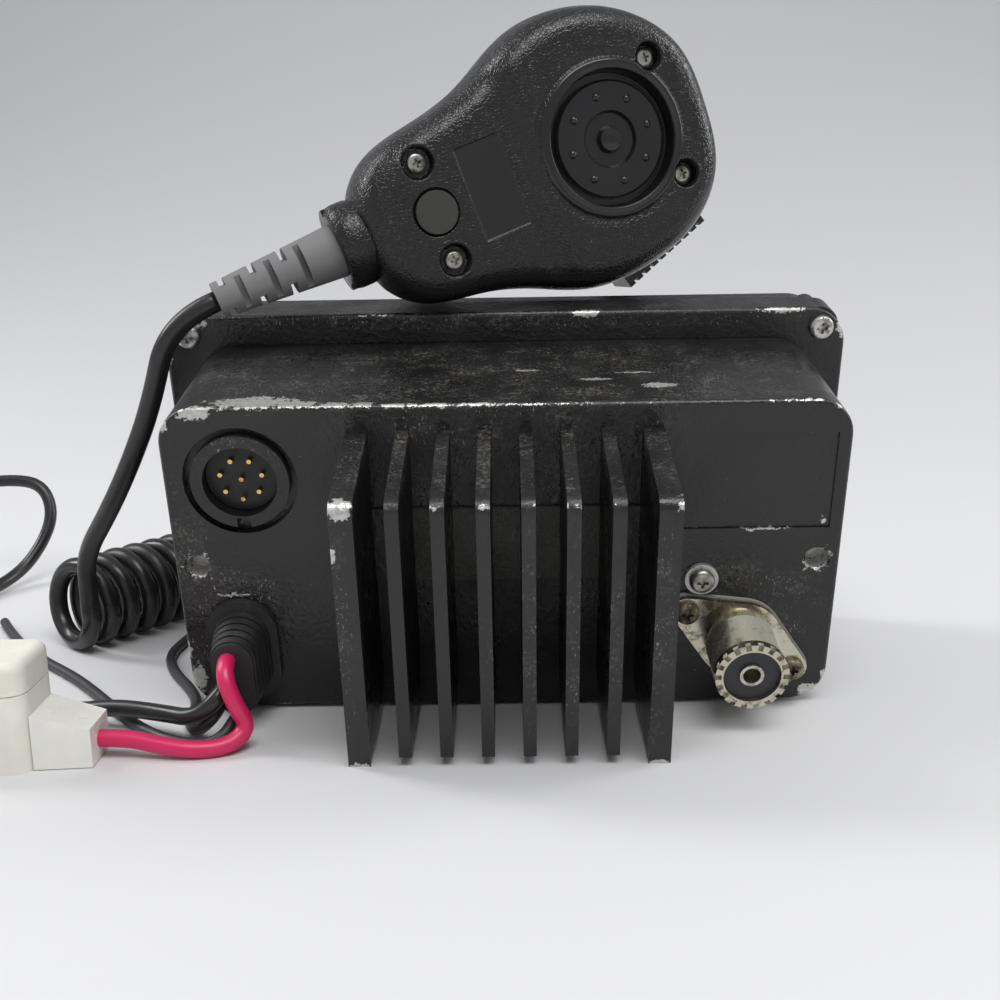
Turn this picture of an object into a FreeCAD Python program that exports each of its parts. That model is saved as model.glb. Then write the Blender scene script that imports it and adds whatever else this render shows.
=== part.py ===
import FreeCAD, Part
import math
import os
import re
import Sketcher
from FreeCAD import Placement, Rotation, Vector

# A fixed-mount VHF marine radio standing tilted on its front panel and its two long fins,
# with its hand microphone on top, its curly cord, power leads and in-line fuse holder.
# Frame: +Z up, +X to the right and +Y away from someone who looks at the rear face.

doc = FreeCAD.newDocument("MarineRadio")

SIZES = {
    # die-cast chassis
    "chassis_wide": 146.5, "chassis_top": 68.0, "chassis_bottom": -6.4, "chassis_deep": 42.2,
    "chassis_corner": 8.5, "chassis_wall": 2.8, "rear_wall": 6.0, "edge_round": 1.0,
    # cooling fins
    "fin_deep": 31.5, "outer_fin_at": 31.1, "outer_fin_thick": 4.6, "inner_fin_thick": 2.7,
    "fin_pitch": 8.6, "inner_fin_rise": 2.2, "fin_root_top": 62.5, "fin_tip_top": 60.0, "fin_corner": 3.0,
    "pad_proud": 0.8, "pad_low": 27.0, "pad_high": 44.5,
    # front panel
    "panel_wide": 163.2, "panel_top": 75.0, "panel_drop": 16.3, "frame_thick": 9.6, "panel_corner": 9.0,
    "bezel_inset": 1.6, "bezel_thick": 11.6, "panel_wall": 3.0, "bezel_face": 3.2,
    "gasket_thick": 0.6, "gasket_inset": 0.8, "panel_boss": 4.4,
    "panel_screw_x": 75.5, "panel_screw_up": 4.6, "panel_screw_head": 2.9, "panel_screw_shank": 1.5,
    # rear face features
    "tapped_x": 68.25, "tapped_z": 30.75, "tapped_hole": 2.5, "tapped_mouth": 3.0, "tapped_deep": 5.0,
    "plate_left": 34.8, "plate_right": 70.2, "plate_low": 38.4, "plate_high": 60.6, "plate_sunk": 0.5,
    "ground_x": 43.0, "ground_z": 26.3, "ground_ring": 3.7, "ground_head": 2.8, "ground_shank": 2.0,
    "ground_washer_thick": 1.0,
    # round multi-pin accessory socket
    "socket_x": -56.7, "socket_z": 51.2, "socket_recess": 12.3, "socket_sunk": 2.4,
    "collar_outer": 10.6, "collar_inner": 8.0, "collar_proud": 0.6, "insert_gap": 0.15,
    "insert_sunk": 3.2, "pin_radius": 0.5, "pin_circle": 4.6, "pin_proud": 1.6,
    # antenna socket
    "antenna_x": 52.2, "antenna_z": 11.4, "antenna_turn": 31.5, "antenna_pair": 14.4,
    "antenna_lobe": 3.4, "antenna_middle": 9.4, "antenna_plate": 1.6, "antenna_gasket_thick": 0.8,
    "antenna_gasket_rim": 0.3,
    "thread_radius": 7.94, "thread_core": 7.3, "thread_long": 14.9, "socket_bore": 6.2,
    "thread_pitch": 1.06, "crown_deep": 1.2, "crown_notches": 18, "crown_notch_wide": 1.2,
    "insulator_sunk": 1.3, "contact_radius": 2.6, "contact_bore": 1.9, "contact_proud": 0.8,
    "antenna_screw_head": 2.7, "antenna_screw_shank": 1.4,
    # power lead boot
    "boot_x": -60.0, "boot_z": 9.6, "boot_wide": 16.0, "boot_tall": 26.0, "boot_ring": 1.8,
    "nose_wide": 12.6, "nose_tall": 21.0, "nose_long": 13.0, "nose_tip_wide": 9.6, "nose_tip_tall": 18.6,
    "groove_deep": 0.7, "red_out_x": -61.0, "red_out_z": 14.6, "black_out_x": -62.0, "black_out_z": 8.6,
    "thin_out_z": 3.2, "thin_out_right": -59.0, "thin_out_left": -63.6,
    # boards and what they carry
    "board_thick": 1.6, "board_gap": 0.3, "main_board_z": 4.0, "main_board_side": 4.45, "main_board_deep": 28.0,
    "post_radius": 3.0, "post_x": 60.0,
    "module_wide": 52.0, "module_tall": 14.0, "module_deep": 9.0, "module_z": 14.0,
    "display_board_sides": 21.2, "display_board_ends": 13.3, "display_board_y": 51.4,
    # front controls, all on the face
    "lcd_x": 8.0, "lcd_z": 45.0, "lcd_spare": 97.2, "lcd_tall": 34.0, "lens_thick": 1.6,
    "speaker_in": 21.6, "speaker_z": 38.0, "speaker_radius": 15.0, "speaker_deep": 6.0,
    "slot_wide": 22.0, "slot_tall": 1.8, "slot_pitch": 4.2, "slot_count": 6,
    "dial_in": 26.6, "dial_z": 48.0, "dial_radius": 12.5, "dial_long": 12.0,
    "small_dial_z": 17.0, "volume_in": 15.6, "squelch_in": 37.6, "small_dial_radius": 7.8,
    "small_dial_long": 11.0, "dial_gap": 0.4, "dial_ribs": 24, "dial_rib": 0.6,
    "spindle": 3.0, "spindle_gap": 0.3, "spindle_in": 7.0, "pot_wide": 13.0,
    "key_z": 12.0, "key_left": -20.0, "key_pitch": 16.0, "key_count": 4, "key_wide": 12.0, "key_tall": 7.0,
    "key_gap": 0.3, "key_proud": 1.6, "key_travel": 0.8, "key_flange": 0.8, "key_corner": 1.4,
    "help_x": 4.0, "help_z": -5.4, "help_wide": 14.0, "help_tall": 7.0, "help_proud": 1.2,
    "cover_wide": 20.0, "cover_tall": 10.0, "cover_thick": 1.6, "cover_gap": 0.4, "hinge_pin": 1.0,
    "hinge_rise": 2.2,
    # microphone, in its own frame: X to the nose, Y up, Z out of its back, origin under the round disc
    "mic_back": 12.0, "mic_front": 17.0, "tail_radius": 9.8, "tail_start": -68.4, "mic_wall": 2.2, "mic_seam": 0.2,
    "disc_radius": 13.5, "disc_thick": 2.2, "disc_seat": 2.6, "disc_gap": 0.3, "hub_radius": 6.6,
    "dimple_circle": 10.0, "dimple_radius": 1.1, "dome_radius": 3.2,
    "mic_screw_x": -45.6, "mic_screw_y": 11.6, "nose_screw_x": 15.0, "nose_screw_y": 14.1,
    "screw_well": 2.9, "screw_well_deep": 2.4, "mic_screw_head": 2.3, "mic_screw_shank": 1.2,
    "plug_radius": 4.9, "plug_thick": 1.6, "label_x": -31.3, "label_wide": 11.8, "label_tall": 21.4,
    "label_sunk": 0.4, "valley_x": -13.0, "valley_deep": 1.6,
    "relief_long": 30.0, "relief_big": 6.3, "relief_small": 4.2, "relief_slots": 6, "relief_root": -68.4,
    "mic_board_thick": 1.6, "capsule_radius": 5.0, "capsule_thick": 5.0, "capsule_x": -8.0,
    "talk_turn": -72.0, "talk_wide": 26.0, "talk_thick": 7.0, "talk_travel": 2.0,
    "talk_gap": 0.35, "talk_proud": 2.6, "talk_out": 31.8, "talk_low": -13.5, "talk_high": -2.5,
    "mic_key_wide": 7.0, "mic_key_tall": 5.0, "mic_key_proud": 1.4, "mic_key_travel": 0.7,
    "mic_key_x": 12.0, "mic_key_y": 8.0, "mic_key_gap": 0.3,
    "mic_yaw": 17.85, "mic_lean": 12.85, "mic_roll": 17.1, "mic_x": 22.2, "mic_y": 68.4, "mic_seat": 0.2,
    # cords
    "curl_wire": 4.8, "curl_radius": 10.0, "curl_pitch": 6.0, "curl_turns": 23,
    "curl_x": -117.0, "curl_y": 43.0, "curl_heading": 52.0, "curl_straight": 46.0, "curl_bend": 90.0,
    "lead_wire": 3.8, "thin_wire": 2.6,
    "gland_x": 58.0, "gland_z": -4.0, "gland_long": 14.0, "gland_big": 5.2, "gland_small": 3.6,
    # in-line fuse holder
    "fuse_left": -134.0, "fuse_right": -99.0, "fuse_near": -33.0, "fuse_far": -15.0, "fuse_tall": 24.0,
    "fuse_lid": 7.0, "fuse_wall": 1.8, "fuse_gap": 0.2, "fuse_corner": 4.0, "fuse_round": 2.0,
    "sleeve_long": 12.0, "sleeve_tall": 12.0, "sleeve_wide": 13.0, "sleeve_tip_tall": 8.6, "sleeve_tip_wide": 11.0,
    "sleeve_y": -24.3, "blade_wide": 19.0, "blade_tall": 12.0, "blade_thick": 5.0,
}

sheet = doc.addObject("Spreadsheet::Sheet", "Sizes")
for row, (alias, value) in enumerate(SIZES.items(), start=1):
    sheet.set(f"A{row}", alias)
    sheet.set(f"B{row}", str(value))
    sheet.setAlias(f"B{row}", alias)
doc.recompute()

WORD = re.compile(r"[a-z][a-z_]*[a-z]")


# An expression in the sheet's words, as the document writes it.
def bound(text):
    return WORD.sub(lambda found: "Sizes." + found.group() if found.group() in SIZES else found.group(), text)


# The number that such an expression has now.
def number(text):
    return float(sheet.evalExpression(bound(text)))


def bind(thing, name, text):
    thing.setExpression(name, bound(text))


parts = []


# Marks an object as one of the handed-in pieces. A lone primitive keeps its own place inside a group.
def piece(thing, label, place=None):
    if thing.TypeId in ("Part::Box", "Part::Cylinder", "Part::Cone"):
        group = doc.addObject("Part::Compound", "Group")
        group.Links = [thing]
        thing = group
    thing.Label = label
    if place is not None:
        thing.Placement = place
    parts.append(thing)
    return thing


# The radio leans back until its front panel's lower edge and its long fins both touch the table.
tilt = math.degrees(math.atan2(number("panel_drop"), number("chassis_deep + fin_deep")))
lift = number("fin_deep") * math.sin(math.radians(tilt))
tilt_turn = Rotation(Vector(1, 0, 0), tilt)

stance = Placement(Vector(0, 0, lift), tilt_turn)
table = Placement()

AXES = {"x": Rotation(Vector(0, 1, 0), 90), "y": Rotation(Vector(1, 0, 0), -90), "z": Rotation()}


def move_to(thing, start):
    for axis, text in zip("xyz", start):
        bind(thing, f"Placement.Base.{axis}", text)
    return thing


# A box from its lowest corner.
def box(start, size):
    thing = doc.addObject("Part::Box", "Box")
    for name, text in zip(("Length", "Width", "Height"), size):
        bind(thing, name, text)
    return move_to(thing, start)


# A round bar along one axis.
def rod(axis, start, length, radius):
    thing = doc.addObject("Part::Cylinder", "Rod")
    thing.Placement = Placement(Vector(), AXES[axis])
    bind(thing, "Height", length)
    bind(thing, "Radius", radius)
    return move_to(thing, start)


# A bar that tapers along one axis.
def taper(axis, start, length, first, last):
    thing = doc.addObject("Part::Cone", "Taper")
    thing.Placement = Placement(Vector(), AXES[axis])
    bind(thing, "Height", length)
    bind(thing, "Radius1", first)
    bind(thing, "Radius2", last)
    return move_to(thing, start)


def joined(*things):
    if len(things) == 1:
        return things[0]
    thing = doc.addObject("Part::MultiFuse", "Joined")
    thing.Shapes = list(things)
    return thing


def cut(base, *tools):
    thing = doc.addObject("Part::Cut", "Cut")
    thing.Base = base
    thing.Tool = joined(*tools)
    return thing


# A piece whose shape is made in code.
def feature(label, shape, place=stance):
    thing = doc.addObject("Part::Feature", label)
    thing.Shape = shape
    return piece(thing, label, place.multiply(shape.Placement))


# A closed outline on one of a body's own planes, each corner held by the sheet.
def outline(body, role, offset, corners):
    plane = next(item for item in body.Origin.OriginFeatures if item.Role == role)
    sketch = body.newObject("Sketcher::SketchObject", "Outline")
    sketch.AttachmentSupport = [(plane, "")]
    sketch.MapMode = "FlatFace"
    bind(sketch, "AttachmentOffset.Base.z", offset)
    spots = [Vector(number(first), number(second), 0) for first, second in corners]
    for spot, following in zip(spots, spots[1:] + spots[:1]):
        sketch.addGeometry(Part.LineSegment(spot, following))
    for line in range(len(spots)):
        sketch.addConstraint(Sketcher.Constraint("Coincident", line, 2, (line + 1) % len(spots), 1))
    for line, (first, second) in enumerate(corners):
        for kind, text in (("DistanceX", first), ("DistanceY", second)):
            index = sketch.addConstraint(Sketcher.Constraint(kind, -1, 1, line, 1, number(text)))
            bind(sketch, f"Constraints[{index}]", text)
    return sketch


def along(edge, direction):
    line = edge.Curve
    return isinstance(line, Part.Line) and abs(abs(line.Direction.dot(direction)) - 1) < 1e-6


# Rounds the edges of a body's last feature that a test picks.
def rounded(body, last, wanted, radius):
    doc.recompute()
    names = [f"Edge{place}" for place, edge in enumerate(last.Shape.Edges, start=1) if wanted(edge)]
    fillet = body.newObject("PartDesign::Fillet", "Round")
    fillet.Base = (last, names)
    bind(fillet, "Radius", radius)
    return fillet


# A rounded slab that faces along Y: left, right, low and high edges, then from where and how deep.
def slab(edges, start, deep, corner, front_round=None, rear_round=None):
    left, right, low, high = edges
    body = doc.addObject("PartDesign::Body", "Slab")
    corners = [(left, low), (right, low), (right, high), (left, high)]
    sketch = outline(body, "XZ_Plane", f"-({start})", corners)
    pad = body.newObject("PartDesign::Pad", "Pad")
    pad.Profile = sketch
    pad.Reversed = True
    bind(pad, "Length", deep)
    last = pad
    if corner:
        last = rounded(body, last, lambda edge: along(edge, Vector(0, 1, 0)), corner)
    for place, radius in ((f"{start} + {deep}", front_round), (start, rear_round)):
        if radius:
            level = number(place)
            last = rounded(body, last, lambda edge, y=level: flat_at(edge, y), radius)
    return body


def flat_at(edge, level):
    return edge.BoundBox.YLength < 1e-6 and abs(edge.BoundBox.YMin - level) < 1e-6


# One cooling fin: a plate across X whose top slopes to a rounded tip.
def fin(start, thick, low):
    body = doc.addObject("PartDesign::Body", "Fin")
    corners = [("-fin_deep", low), ("0.5", low), ("0.5", "fin_root_top"), ("-fin_deep", "fin_tip_top")]
    pad = body.newObject("PartDesign::Pad", "Pad")
    pad.Profile = outline(body, "YZ_Plane", start, corners)
    bind(pad, "Length", thick)
    tip = -number("fin_deep")
    top = number(low) + 1
    rounded(body, pad, lambda edge: along(edge, Vector(1, 0, 0)) and edge.BoundBox.YMax < tip + 0.1
            and edge.BoundBox.ZMin > top, "fin_corner")
    return body


# A turned piece along Y, from its profile as radius and Y.
def turned(profile, centre):
    spots = [Vector(radius, y, 0) for radius, y in profile]
    face = Part.Face(Part.makePolygon(spots + spots[:1]))
    solid = face.revolve(Vector(), Vector(0, 1, 0), 360)
    solid.translate(Vector(number(centre[0]), 0, number(centre[1])))
    return solid


# The chassis: a cast box, closed at the rear, with its fins and rear-face features.
def chassis():
    half = "chassis_wide / 2"
    outer = slab((f"-{half}", half, "chassis_bottom", "chassis_top"), "0", "chassis_deep",
                 "chassis_corner", rear_round="edge_round")
    inside = (f"-{half} + chassis_wall", f"{half} - chassis_wall",
              "chassis_bottom + chassis_wall", "chassis_top - chassis_wall")
    hollow = slab(inside, "rear_wall", "chassis_deep", "chassis_corner - chassis_wall")
    added = [fin("-outer_fin_at - outer_fin_thick / 2", "outer_fin_thick", "0"),
             fin("outer_fin_at - outer_fin_thick / 2", "outer_fin_thick", "0")]
    for place in range(6):
        middle = f"({place} - 2.5) * fin_pitch"
        added.append(fin(f"{middle} - inner_fin_thick / 2", "inner_fin_thick", "inner_fin_rise"))
    added.append(box(("-outer_fin_at", "-pad_proud", "pad_low"),
                     ("2 * outer_fin_at", "pad_proud + 0.5", "pad_high - pad_low")))
    posts = [rod("z", (f"{side}post_x", "rear_wall + main_board_deep / 2", "chassis_bottom + chassis_wall / 2"),
                 "main_board_z - chassis_bottom - chassis_wall / 2", "post_radius")
             for side in ("-", "")]
    removed = [rod("y", ("socket_x", "-1", "socket_z"), "socket_sunk + 1", "socket_recess"),
               rod("y", ("socket_x", "-1", "socket_z"), "rear_wall + 2", "collar_inner"),
               box(("plate_left", "-1", "plate_low"),
                   ("plate_right - plate_left", "plate_sunk + 1", "plate_high - plate_low")),
               rod("y", ("ground_x", "-1", "ground_z"), "tapped_deep + 1", "ground_shank + 0.1"),
               rod("y", ("antenna_x", "-1", "antenna_z"), "rear_wall + 2", "socket_bore + 0.2"),
               slab(boot_edges("nose_wide / 2 - 1.4", "nose_tall / 2 - 1.4"), "-1", "rear_wall + 2",
                    "nose_wide / 2 - 1.5")]
    for side in ("-", ""):
        removed.append(rod("y", (f"{side}tapped_x", "-1", "tapped_z"), "tapped_deep + 1", "tapped_hole"))
        removed.append(taper("y", (f"{side}tapped_x", "-0.01", "tapped_z"), "tapped_mouth - tapped_hole",
                             "tapped_mouth", "tapped_hole"))
        removed.append(rod("y", antenna_screw_spot(side, "-1"), "tapped_deep + 1", "antenna_screw_shank + 0.1"))
    return piece(cut(joined(cut(joined(outer, *added), hollow), *posts), *removed), "chassis_casting", stance)


# The boot's rounded outline, as far each way as asked from its middle.
def boot_edges(wide, tall):
    return (f"boot_x - ({wide})", f"boot_x + ({wide})", f"boot_z - ({tall})", f"boot_z + ({tall})")


# Where one of the antenna socket's two screws stands.
def antenna_screw_spot(side, y):
    sign = f"{side}antenna_pair"
    return (f"antenna_x + ({sign}) * cos(antenna_turn * 1 deg)", y,
            f"antenna_z - ({sign}) * sin(antenna_turn * 1 deg)")


# A plate with a round middle and two smaller round ends, in the plane of the rear face.
def lobed_plate(middle, end, thick):
    reach = number("antenna_pair")
    lean = math.acos((middle - end) / reach)
    low = Vector(math.cos(lean), 0, -math.sin(lean))
    high = Vector(math.cos(lean), 0, math.sin(lean))
    centre = Vector(reach, 0, 0)
    mirror = lambda spot: Vector(-spot.x, spot.y, spot.z)
    edges = [Part.Arc(centre + low * end, centre + Vector(end, 0, 0), centre + high * end).toShape(),
             Part.makeLine(centre + high * end, high * middle),
             Part.Arc(high * middle, Vector(0, 0, middle), mirror(high * middle)).toShape(),
             Part.makeLine(mirror(high * middle), mirror(centre + high * end)),
             Part.Arc(mirror(centre + high * end), Vector(-reach - end, 0, 0),
                      mirror(centre + low * end)).toShape(),
             Part.makeLine(mirror(centre + low * end), mirror(low * middle)),
             Part.Arc(mirror(low * middle), Vector(0, 0, -middle), low * middle).toShape(),
             Part.makeLine(low * middle, centre + low * end)]
    plate = Part.Face(Part.Wire(edges)).extrude(Vector(0, -thick, 0))
    plate.rotate(Vector(), Vector(0, 1, 0), number("antenna_turn"))
    plate.translate(Vector(number("antenna_x"), 0, number("antenna_z")))
    return plate


# The antenna socket: gasket, flanged threaded shell with a toothed mouth, insulator, contact, screws.
def antenna_socket():
    rim = number("antenna_gasket_rim")
    bore = number("socket_bore")
    core = number("thread_core")
    gasket_thick = number("antenna_gasket_thick")
    spot = (number("antenna_x"), number("antenna_z"))
    centre = Vector(spot[0], 0, spot[1])
    shanks = []
    for side in ("-", ""):
        place = Vector(*(number(text) for text in antenna_screw_spot(side, "rear_wall")))
        shanks.append(Part.makeCylinder(number("antenna_screw_shank") + 0.1, 30, place, Vector(0, -1, 0)))
    through = Part.makeCylinder(bore + 0.2, 60, centre + Vector(0, 30, 0), Vector(0, -1, 0))
    gasket = lobed_plate(number("antenna_middle") + rim, number("antenna_lobe") + rim, gasket_thick)
    feature("antenna_gasket", gasket.cut([through] + shanks))
    flange = lobed_plate(number("antenna_middle"), number("antenna_lobe"), number("antenna_plate"))
    flange.translate(Vector(0, -gasket_thick, 0))
    flange_face = gasket_thick + number("antenna_plate")
    mouth = flange_face + number("thread_long")
    pitch = number("thread_pitch")
    profile = [(bore, -gasket_thick), (core, -gasket_thick)]
    turns = int((number("thread_long") - number("crown_deep") - 3.0) / pitch)
    for turn in range(turns):
        start = flange_face + 1.8 + turn * pitch
        profile += [(core, -start), (number("thread_radius"), -start - pitch / 2)]
    end = flange_face + 1.8 + turns * pitch
    profile += [(core, -end), (number("thread_radius"), -end - 0.4), (number("thread_radius"), -mouth),
                (bore, -mouth)]
    shell = flange.cut(shanks).cut(through).fuse(turned(profile, ("antenna_x", "antenna_z")))
    notches = []
    count = int(number("crown_notches"))
    for notch in range(count):
        slot = Part.makeBox(4, number("crown_deep") + 1, number("crown_notch_wide"),
                            Vector(bore + 0.4, -mouth - 1, -number("crown_notch_wide") / 2))
        slot.rotate(Vector(), Vector(0, 1, 0), 360 * notch / count)
        slot.translate(centre)
        notches.append(slot)
    feature("antenna_socket_shell", shell.cut(notches))
    face = mouth - number("insulator_sunk")
    contact = number("contact_radius")
    feature("antenna_insulator", turned([(contact + 0.05, -face), (bore - 0.05, -face), (bore - 0.05, 5),
                                         (contact + 0.05, 5)], ("antenna_x", "antenna_z")))
    tip = face + number("contact_proud")
    feature("antenna_contact", turned([(number("contact_bore"), -tip), (contact, -tip), (contact, 5.5),
                                       (0, 5.5), (0, -tip + 9), (number("contact_bore"), -tip + 9)],
                                      ("antenna_x", "antenna_z")))
    screws = []
    for side in ("-", ""):
        screws.append(pan_screw(antenna_screw_spot(side, f"-{flange_face}"), "antenna_screw_head",
                                "antenna_screw_shank", f"{flange_face} + 4"))
    feature("antenna_screws", Part.makeCompound(screws))


# A pan-head screw that points into +Y, its head's underside at the given spot, with a cross recess.
def pan_screw(spot, head, shank, long):
    place = Vector(*(number(text) for text in spot))
    radius = number(head)
    tall = radius * 0.62
    body = Part.makeCylinder(number(shank), number(long), place, Vector(0, 1, 0))
    cap = Part.makeCylinder(radius, tall, place, Vector(0, -1, 0))
    top = [edge for edge in cap.Edges if flat_at(edge, place.y - tall)]
    cap = cap.makeFillet(tall * 0.6, top)
    arm = radius * 0.9
    narrow = radius * 0.26
    for wide, high in ((arm, narrow), (narrow, arm)):
        cap = cap.cut(Part.makeBox(wide, tall * 0.7, high, place + Vector(-wide / 2, -tall - 0.01, -high / 2)))
    return cap.fuse(body)


# The round accessory socket: a keyed collar, the insert and its eight pins.
def accessory_socket():
    keyway = box(("socket_x - 1.5", "-collar_proud - 1", "socket_z - collar_outer - 1"),
                 ("3", "socket_sunk + collar_proud + 2", "collar_outer - collar_inner + 0.6"))
    ring = cut(rod("y", ("socket_x", "-collar_proud", "socket_z"), "collar_proud + socket_sunk", "collar_outer"),
               rod("y", ("socket_x", "-collar_proud - 1", "socket_z"), "collar_proud + socket_sunk + 2",
                   "collar_inner"), keyway)
    piece(ring, "accessory_socket_collar", stance)
    spots = [("socket_x", "socket_z")]
    for place in range(7):
        spots.append((f"socket_x + pin_circle * cos({360 / 7 * place + 12} deg)",
                      f"socket_z + pin_circle * sin({360 / 7 * place + 12} deg)"))
    face = "insert_sunk - collar_proud"
    insert = joined(rod("y", ("socket_x", face, "socket_z"), f"rear_wall + 4 - ({face})",
                        "collar_inner - insert_gap"),
                    rod("y", ("socket_x", "rear_wall", "socket_z"), "2", "collar_inner + 2"))
    holes = [rod("y", (x, "-1", z), "rear_wall + 9", "pin_radius + 0.05") for x, z in spots]
    piece(cut(insert, *holes), "accessory_socket_insert", stance)
    pins = [rod("y", (x, f"{face} - pin_proud", z), "rear_wall + 6", "pin_radius") for x, z in spots]
    piece(joined(*pins), "accessory_socket_pins", stance)


# The ground terminal: a plain washer and a recessed-head screw.
def ground_terminal():
    washer = cut(rod("y", ("ground_x", "-ground_washer_thick", "ground_z"), "ground_washer_thick", "ground_ring"),
                 rod("y", ("ground_x", "-3", "ground_z"), "6", "ground_shank + 0.1"))
    piece(washer, "ground_washer", stance)
    feature("ground_screw", pan_screw(("ground_x", "-ground_washer_thick", "ground_z"), "ground_head",
                                      "ground_shank", "ground_washer_thick + 4.5"))


# A rounded-end outline about the boot's middle, at one Y.
def boot_section(wide, tall, y, drop=0):
    radius = wide / 2
    rise = tall / 2 - radius
    x = number("boot_x")
    z = number("boot_z") - drop
    top = Vector(x, y, z + rise)
    low = Vector(x, y, z - rise)
    across = Vector(radius, 0, 0)
    up = Vector(0, 0, radius)
    edges = [Part.Arc(top + across, top + up, top - across).toShape(),
             Part.makeLine(top - across, low - across),
             Part.Arc(low - across, low - up, low + across).toShape(),
             Part.makeLine(low + across, top + across)]
    return Part.Wire(edges)


# The rubber boot: a rim on the rear face, a neck through it and a grooved, tapering nose.
def power_boot():
    ring = number("boot_ring")
    long = number("nose_long")
    start = (number("nose_wide"), number("nose_tall"))
    tip = (number("nose_tip_wide"), number("nose_tip_tall"))
    rim = Part.Face(boot_section(number("boot_wide"), number("boot_tall"), 0)).extrude(Vector(0, -ring, 0))
    share = lambda part: tuple(a + (b - a) * part for a, b in zip(start, tip))
    nose = None
    steps = 5
    groove = number("groove_deep")
    for step in range(steps):
        first = boot_section(*share(step / steps), -ring - (long - ring) * step / steps)
        middle = -ring - (long - ring) * (step + 0.7) / steps
        second = boot_section(*share((step + 0.7) / steps), middle)
        inner = boot_section(*(size - groove for size in share((step + 0.75) / steps)), middle)
        after = boot_section(*(size - groove for size in share((step + 1) / steps)),
                             -ring - (long - ring) * (step + 1) / steps)
        band = Part.makeLoft([first, second], True, True).fuse(Part.makeLoft([inner, after], True, True))
        nose = band if nose is None else nose.fuse(band)
    deep = number("rear_wall")
    neck = Part.Face(boot_section(start[0] - 3, start[1] - 3, 0)).extrude(Vector(0, deep, 0))
    flange = Part.Face(boot_section(*start, deep)).extrude(Vector(0, 2, 0))
    feature("power_boot", rim.fuse([nose, neck, flange]).removeSplitter())


# The boards, the power module on the rear wall and the display stack behind the face.
def electronics():
    board = box((f"-{MAIN_WIDE} / 2", "rear_wall + 4", "main_board_z"),
                (MAIN_WIDE, "main_board_deep", "board_thick"))
    cans = [box(("-40", "rear_wall + 12", "main_board_z + board_thick"), ("30", "16", "5")),
            box(("5", "rear_wall + 12", "main_board_z + board_thick"), ("22", "16", "4"))]
    piece(joined(board, *cans), "main_board", stance)
    piece(box(("-module_wide / 2", "rear_wall", "module_z"), ("module_wide", "module_deep", "module_tall")),
          "power_module", stance)
    high = "(panel_top - panel_drop) / 2"
    board = box((f"-{DISPLAY_WIDE} / 2", f"{BOARD} - board_thick", f"{high} - {DISPLAY_TALL} / 2"),
                (DISPLAY_WIDE, "board_thick", DISPLAY_TALL))
    domes = [box((f"{key_middle(place)} - 2", BOARD, "key_z - 2"), ("4", f"{SWITCH} - ({BOARD})", "4"))
             for place in range(int(number("key_count")))]
    domes.append(box(("help_x - 2", BOARD, "help_z - 2"), ("4", f"{SWITCH} - ({BOARD})", "4")))
    piece(joined(board, *domes), "display_board", stance)
    piece(box((f"lcd_x - {LCD_WIDE} / 2", BOARD, "lcd_z - lcd_tall / 2"),
              (LCD_WIDE, f"{FACE_BACK} - board_gap - ({BOARD})", "lcd_tall")), "lcd_module", stance)
    piece(joined(rod("y", (SPEAKER_X, f"{FACE_BACK} - speaker_deep", "speaker_z"), "speaker_deep",
                     "speaker_radius"),
                 rod("y", (SPEAKER_X, f"{BOARD}", "speaker_z"), f"{FACE_BACK} - speaker_deep / 2 - ({BOARD})",
                     "speaker_radius / 2")), "speaker", stance)


MAIN_WIDE = "(chassis_wide - 2 * chassis_wall - 2 * main_board_side)"
DISPLAY_WIDE = "(panel_wide - display_board_sides)"
DISPLAY_TALL = "(panel_top + panel_drop - display_board_ends)"
LCD_WIDE = "(panel_wide - lcd_spare)"
SPEAKER_X = "(panel_wide / 2 - speaker_in)"
DIAL_X = "(dial_in - panel_wide / 2)"
VOLUME_X = "(volume_in - panel_wide / 2)"
SQUELCH_X = "(squelch_in - panel_wide / 2)"
FRAME = "chassis_deep + gasket_thick"
BEZEL = f"{FRAME} + frame_thick"
FACE = f"{BEZEL} + bezel_thick"
FACE_BACK = f"{FACE} - bezel_face"
BOARD = "display_board_y + board_thick"
SWITCH = f"{FACE_BACK} - key_gap - key_flange - key_travel - board_gap"


def key_middle(place):
    return f"key_left + {place} * key_pitch"


def panel_edges(inset):
    half = f"panel_wide / 2 - ({inset})"
    return (f"-({half})", half, f"-panel_drop + ({inset})", f"panel_top - ({inset})")


# The corners of the front panel that its four screws pass.
def screw_spots():
    spots = []
    for side in ("-", ""):
        spots.append((f"{side}panel_screw_x", "panel_top - panel_screw_up"))
        spots.append((f"{side}panel_screw_x", "-panel_drop + panel_screw_up"))
    return spots


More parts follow.
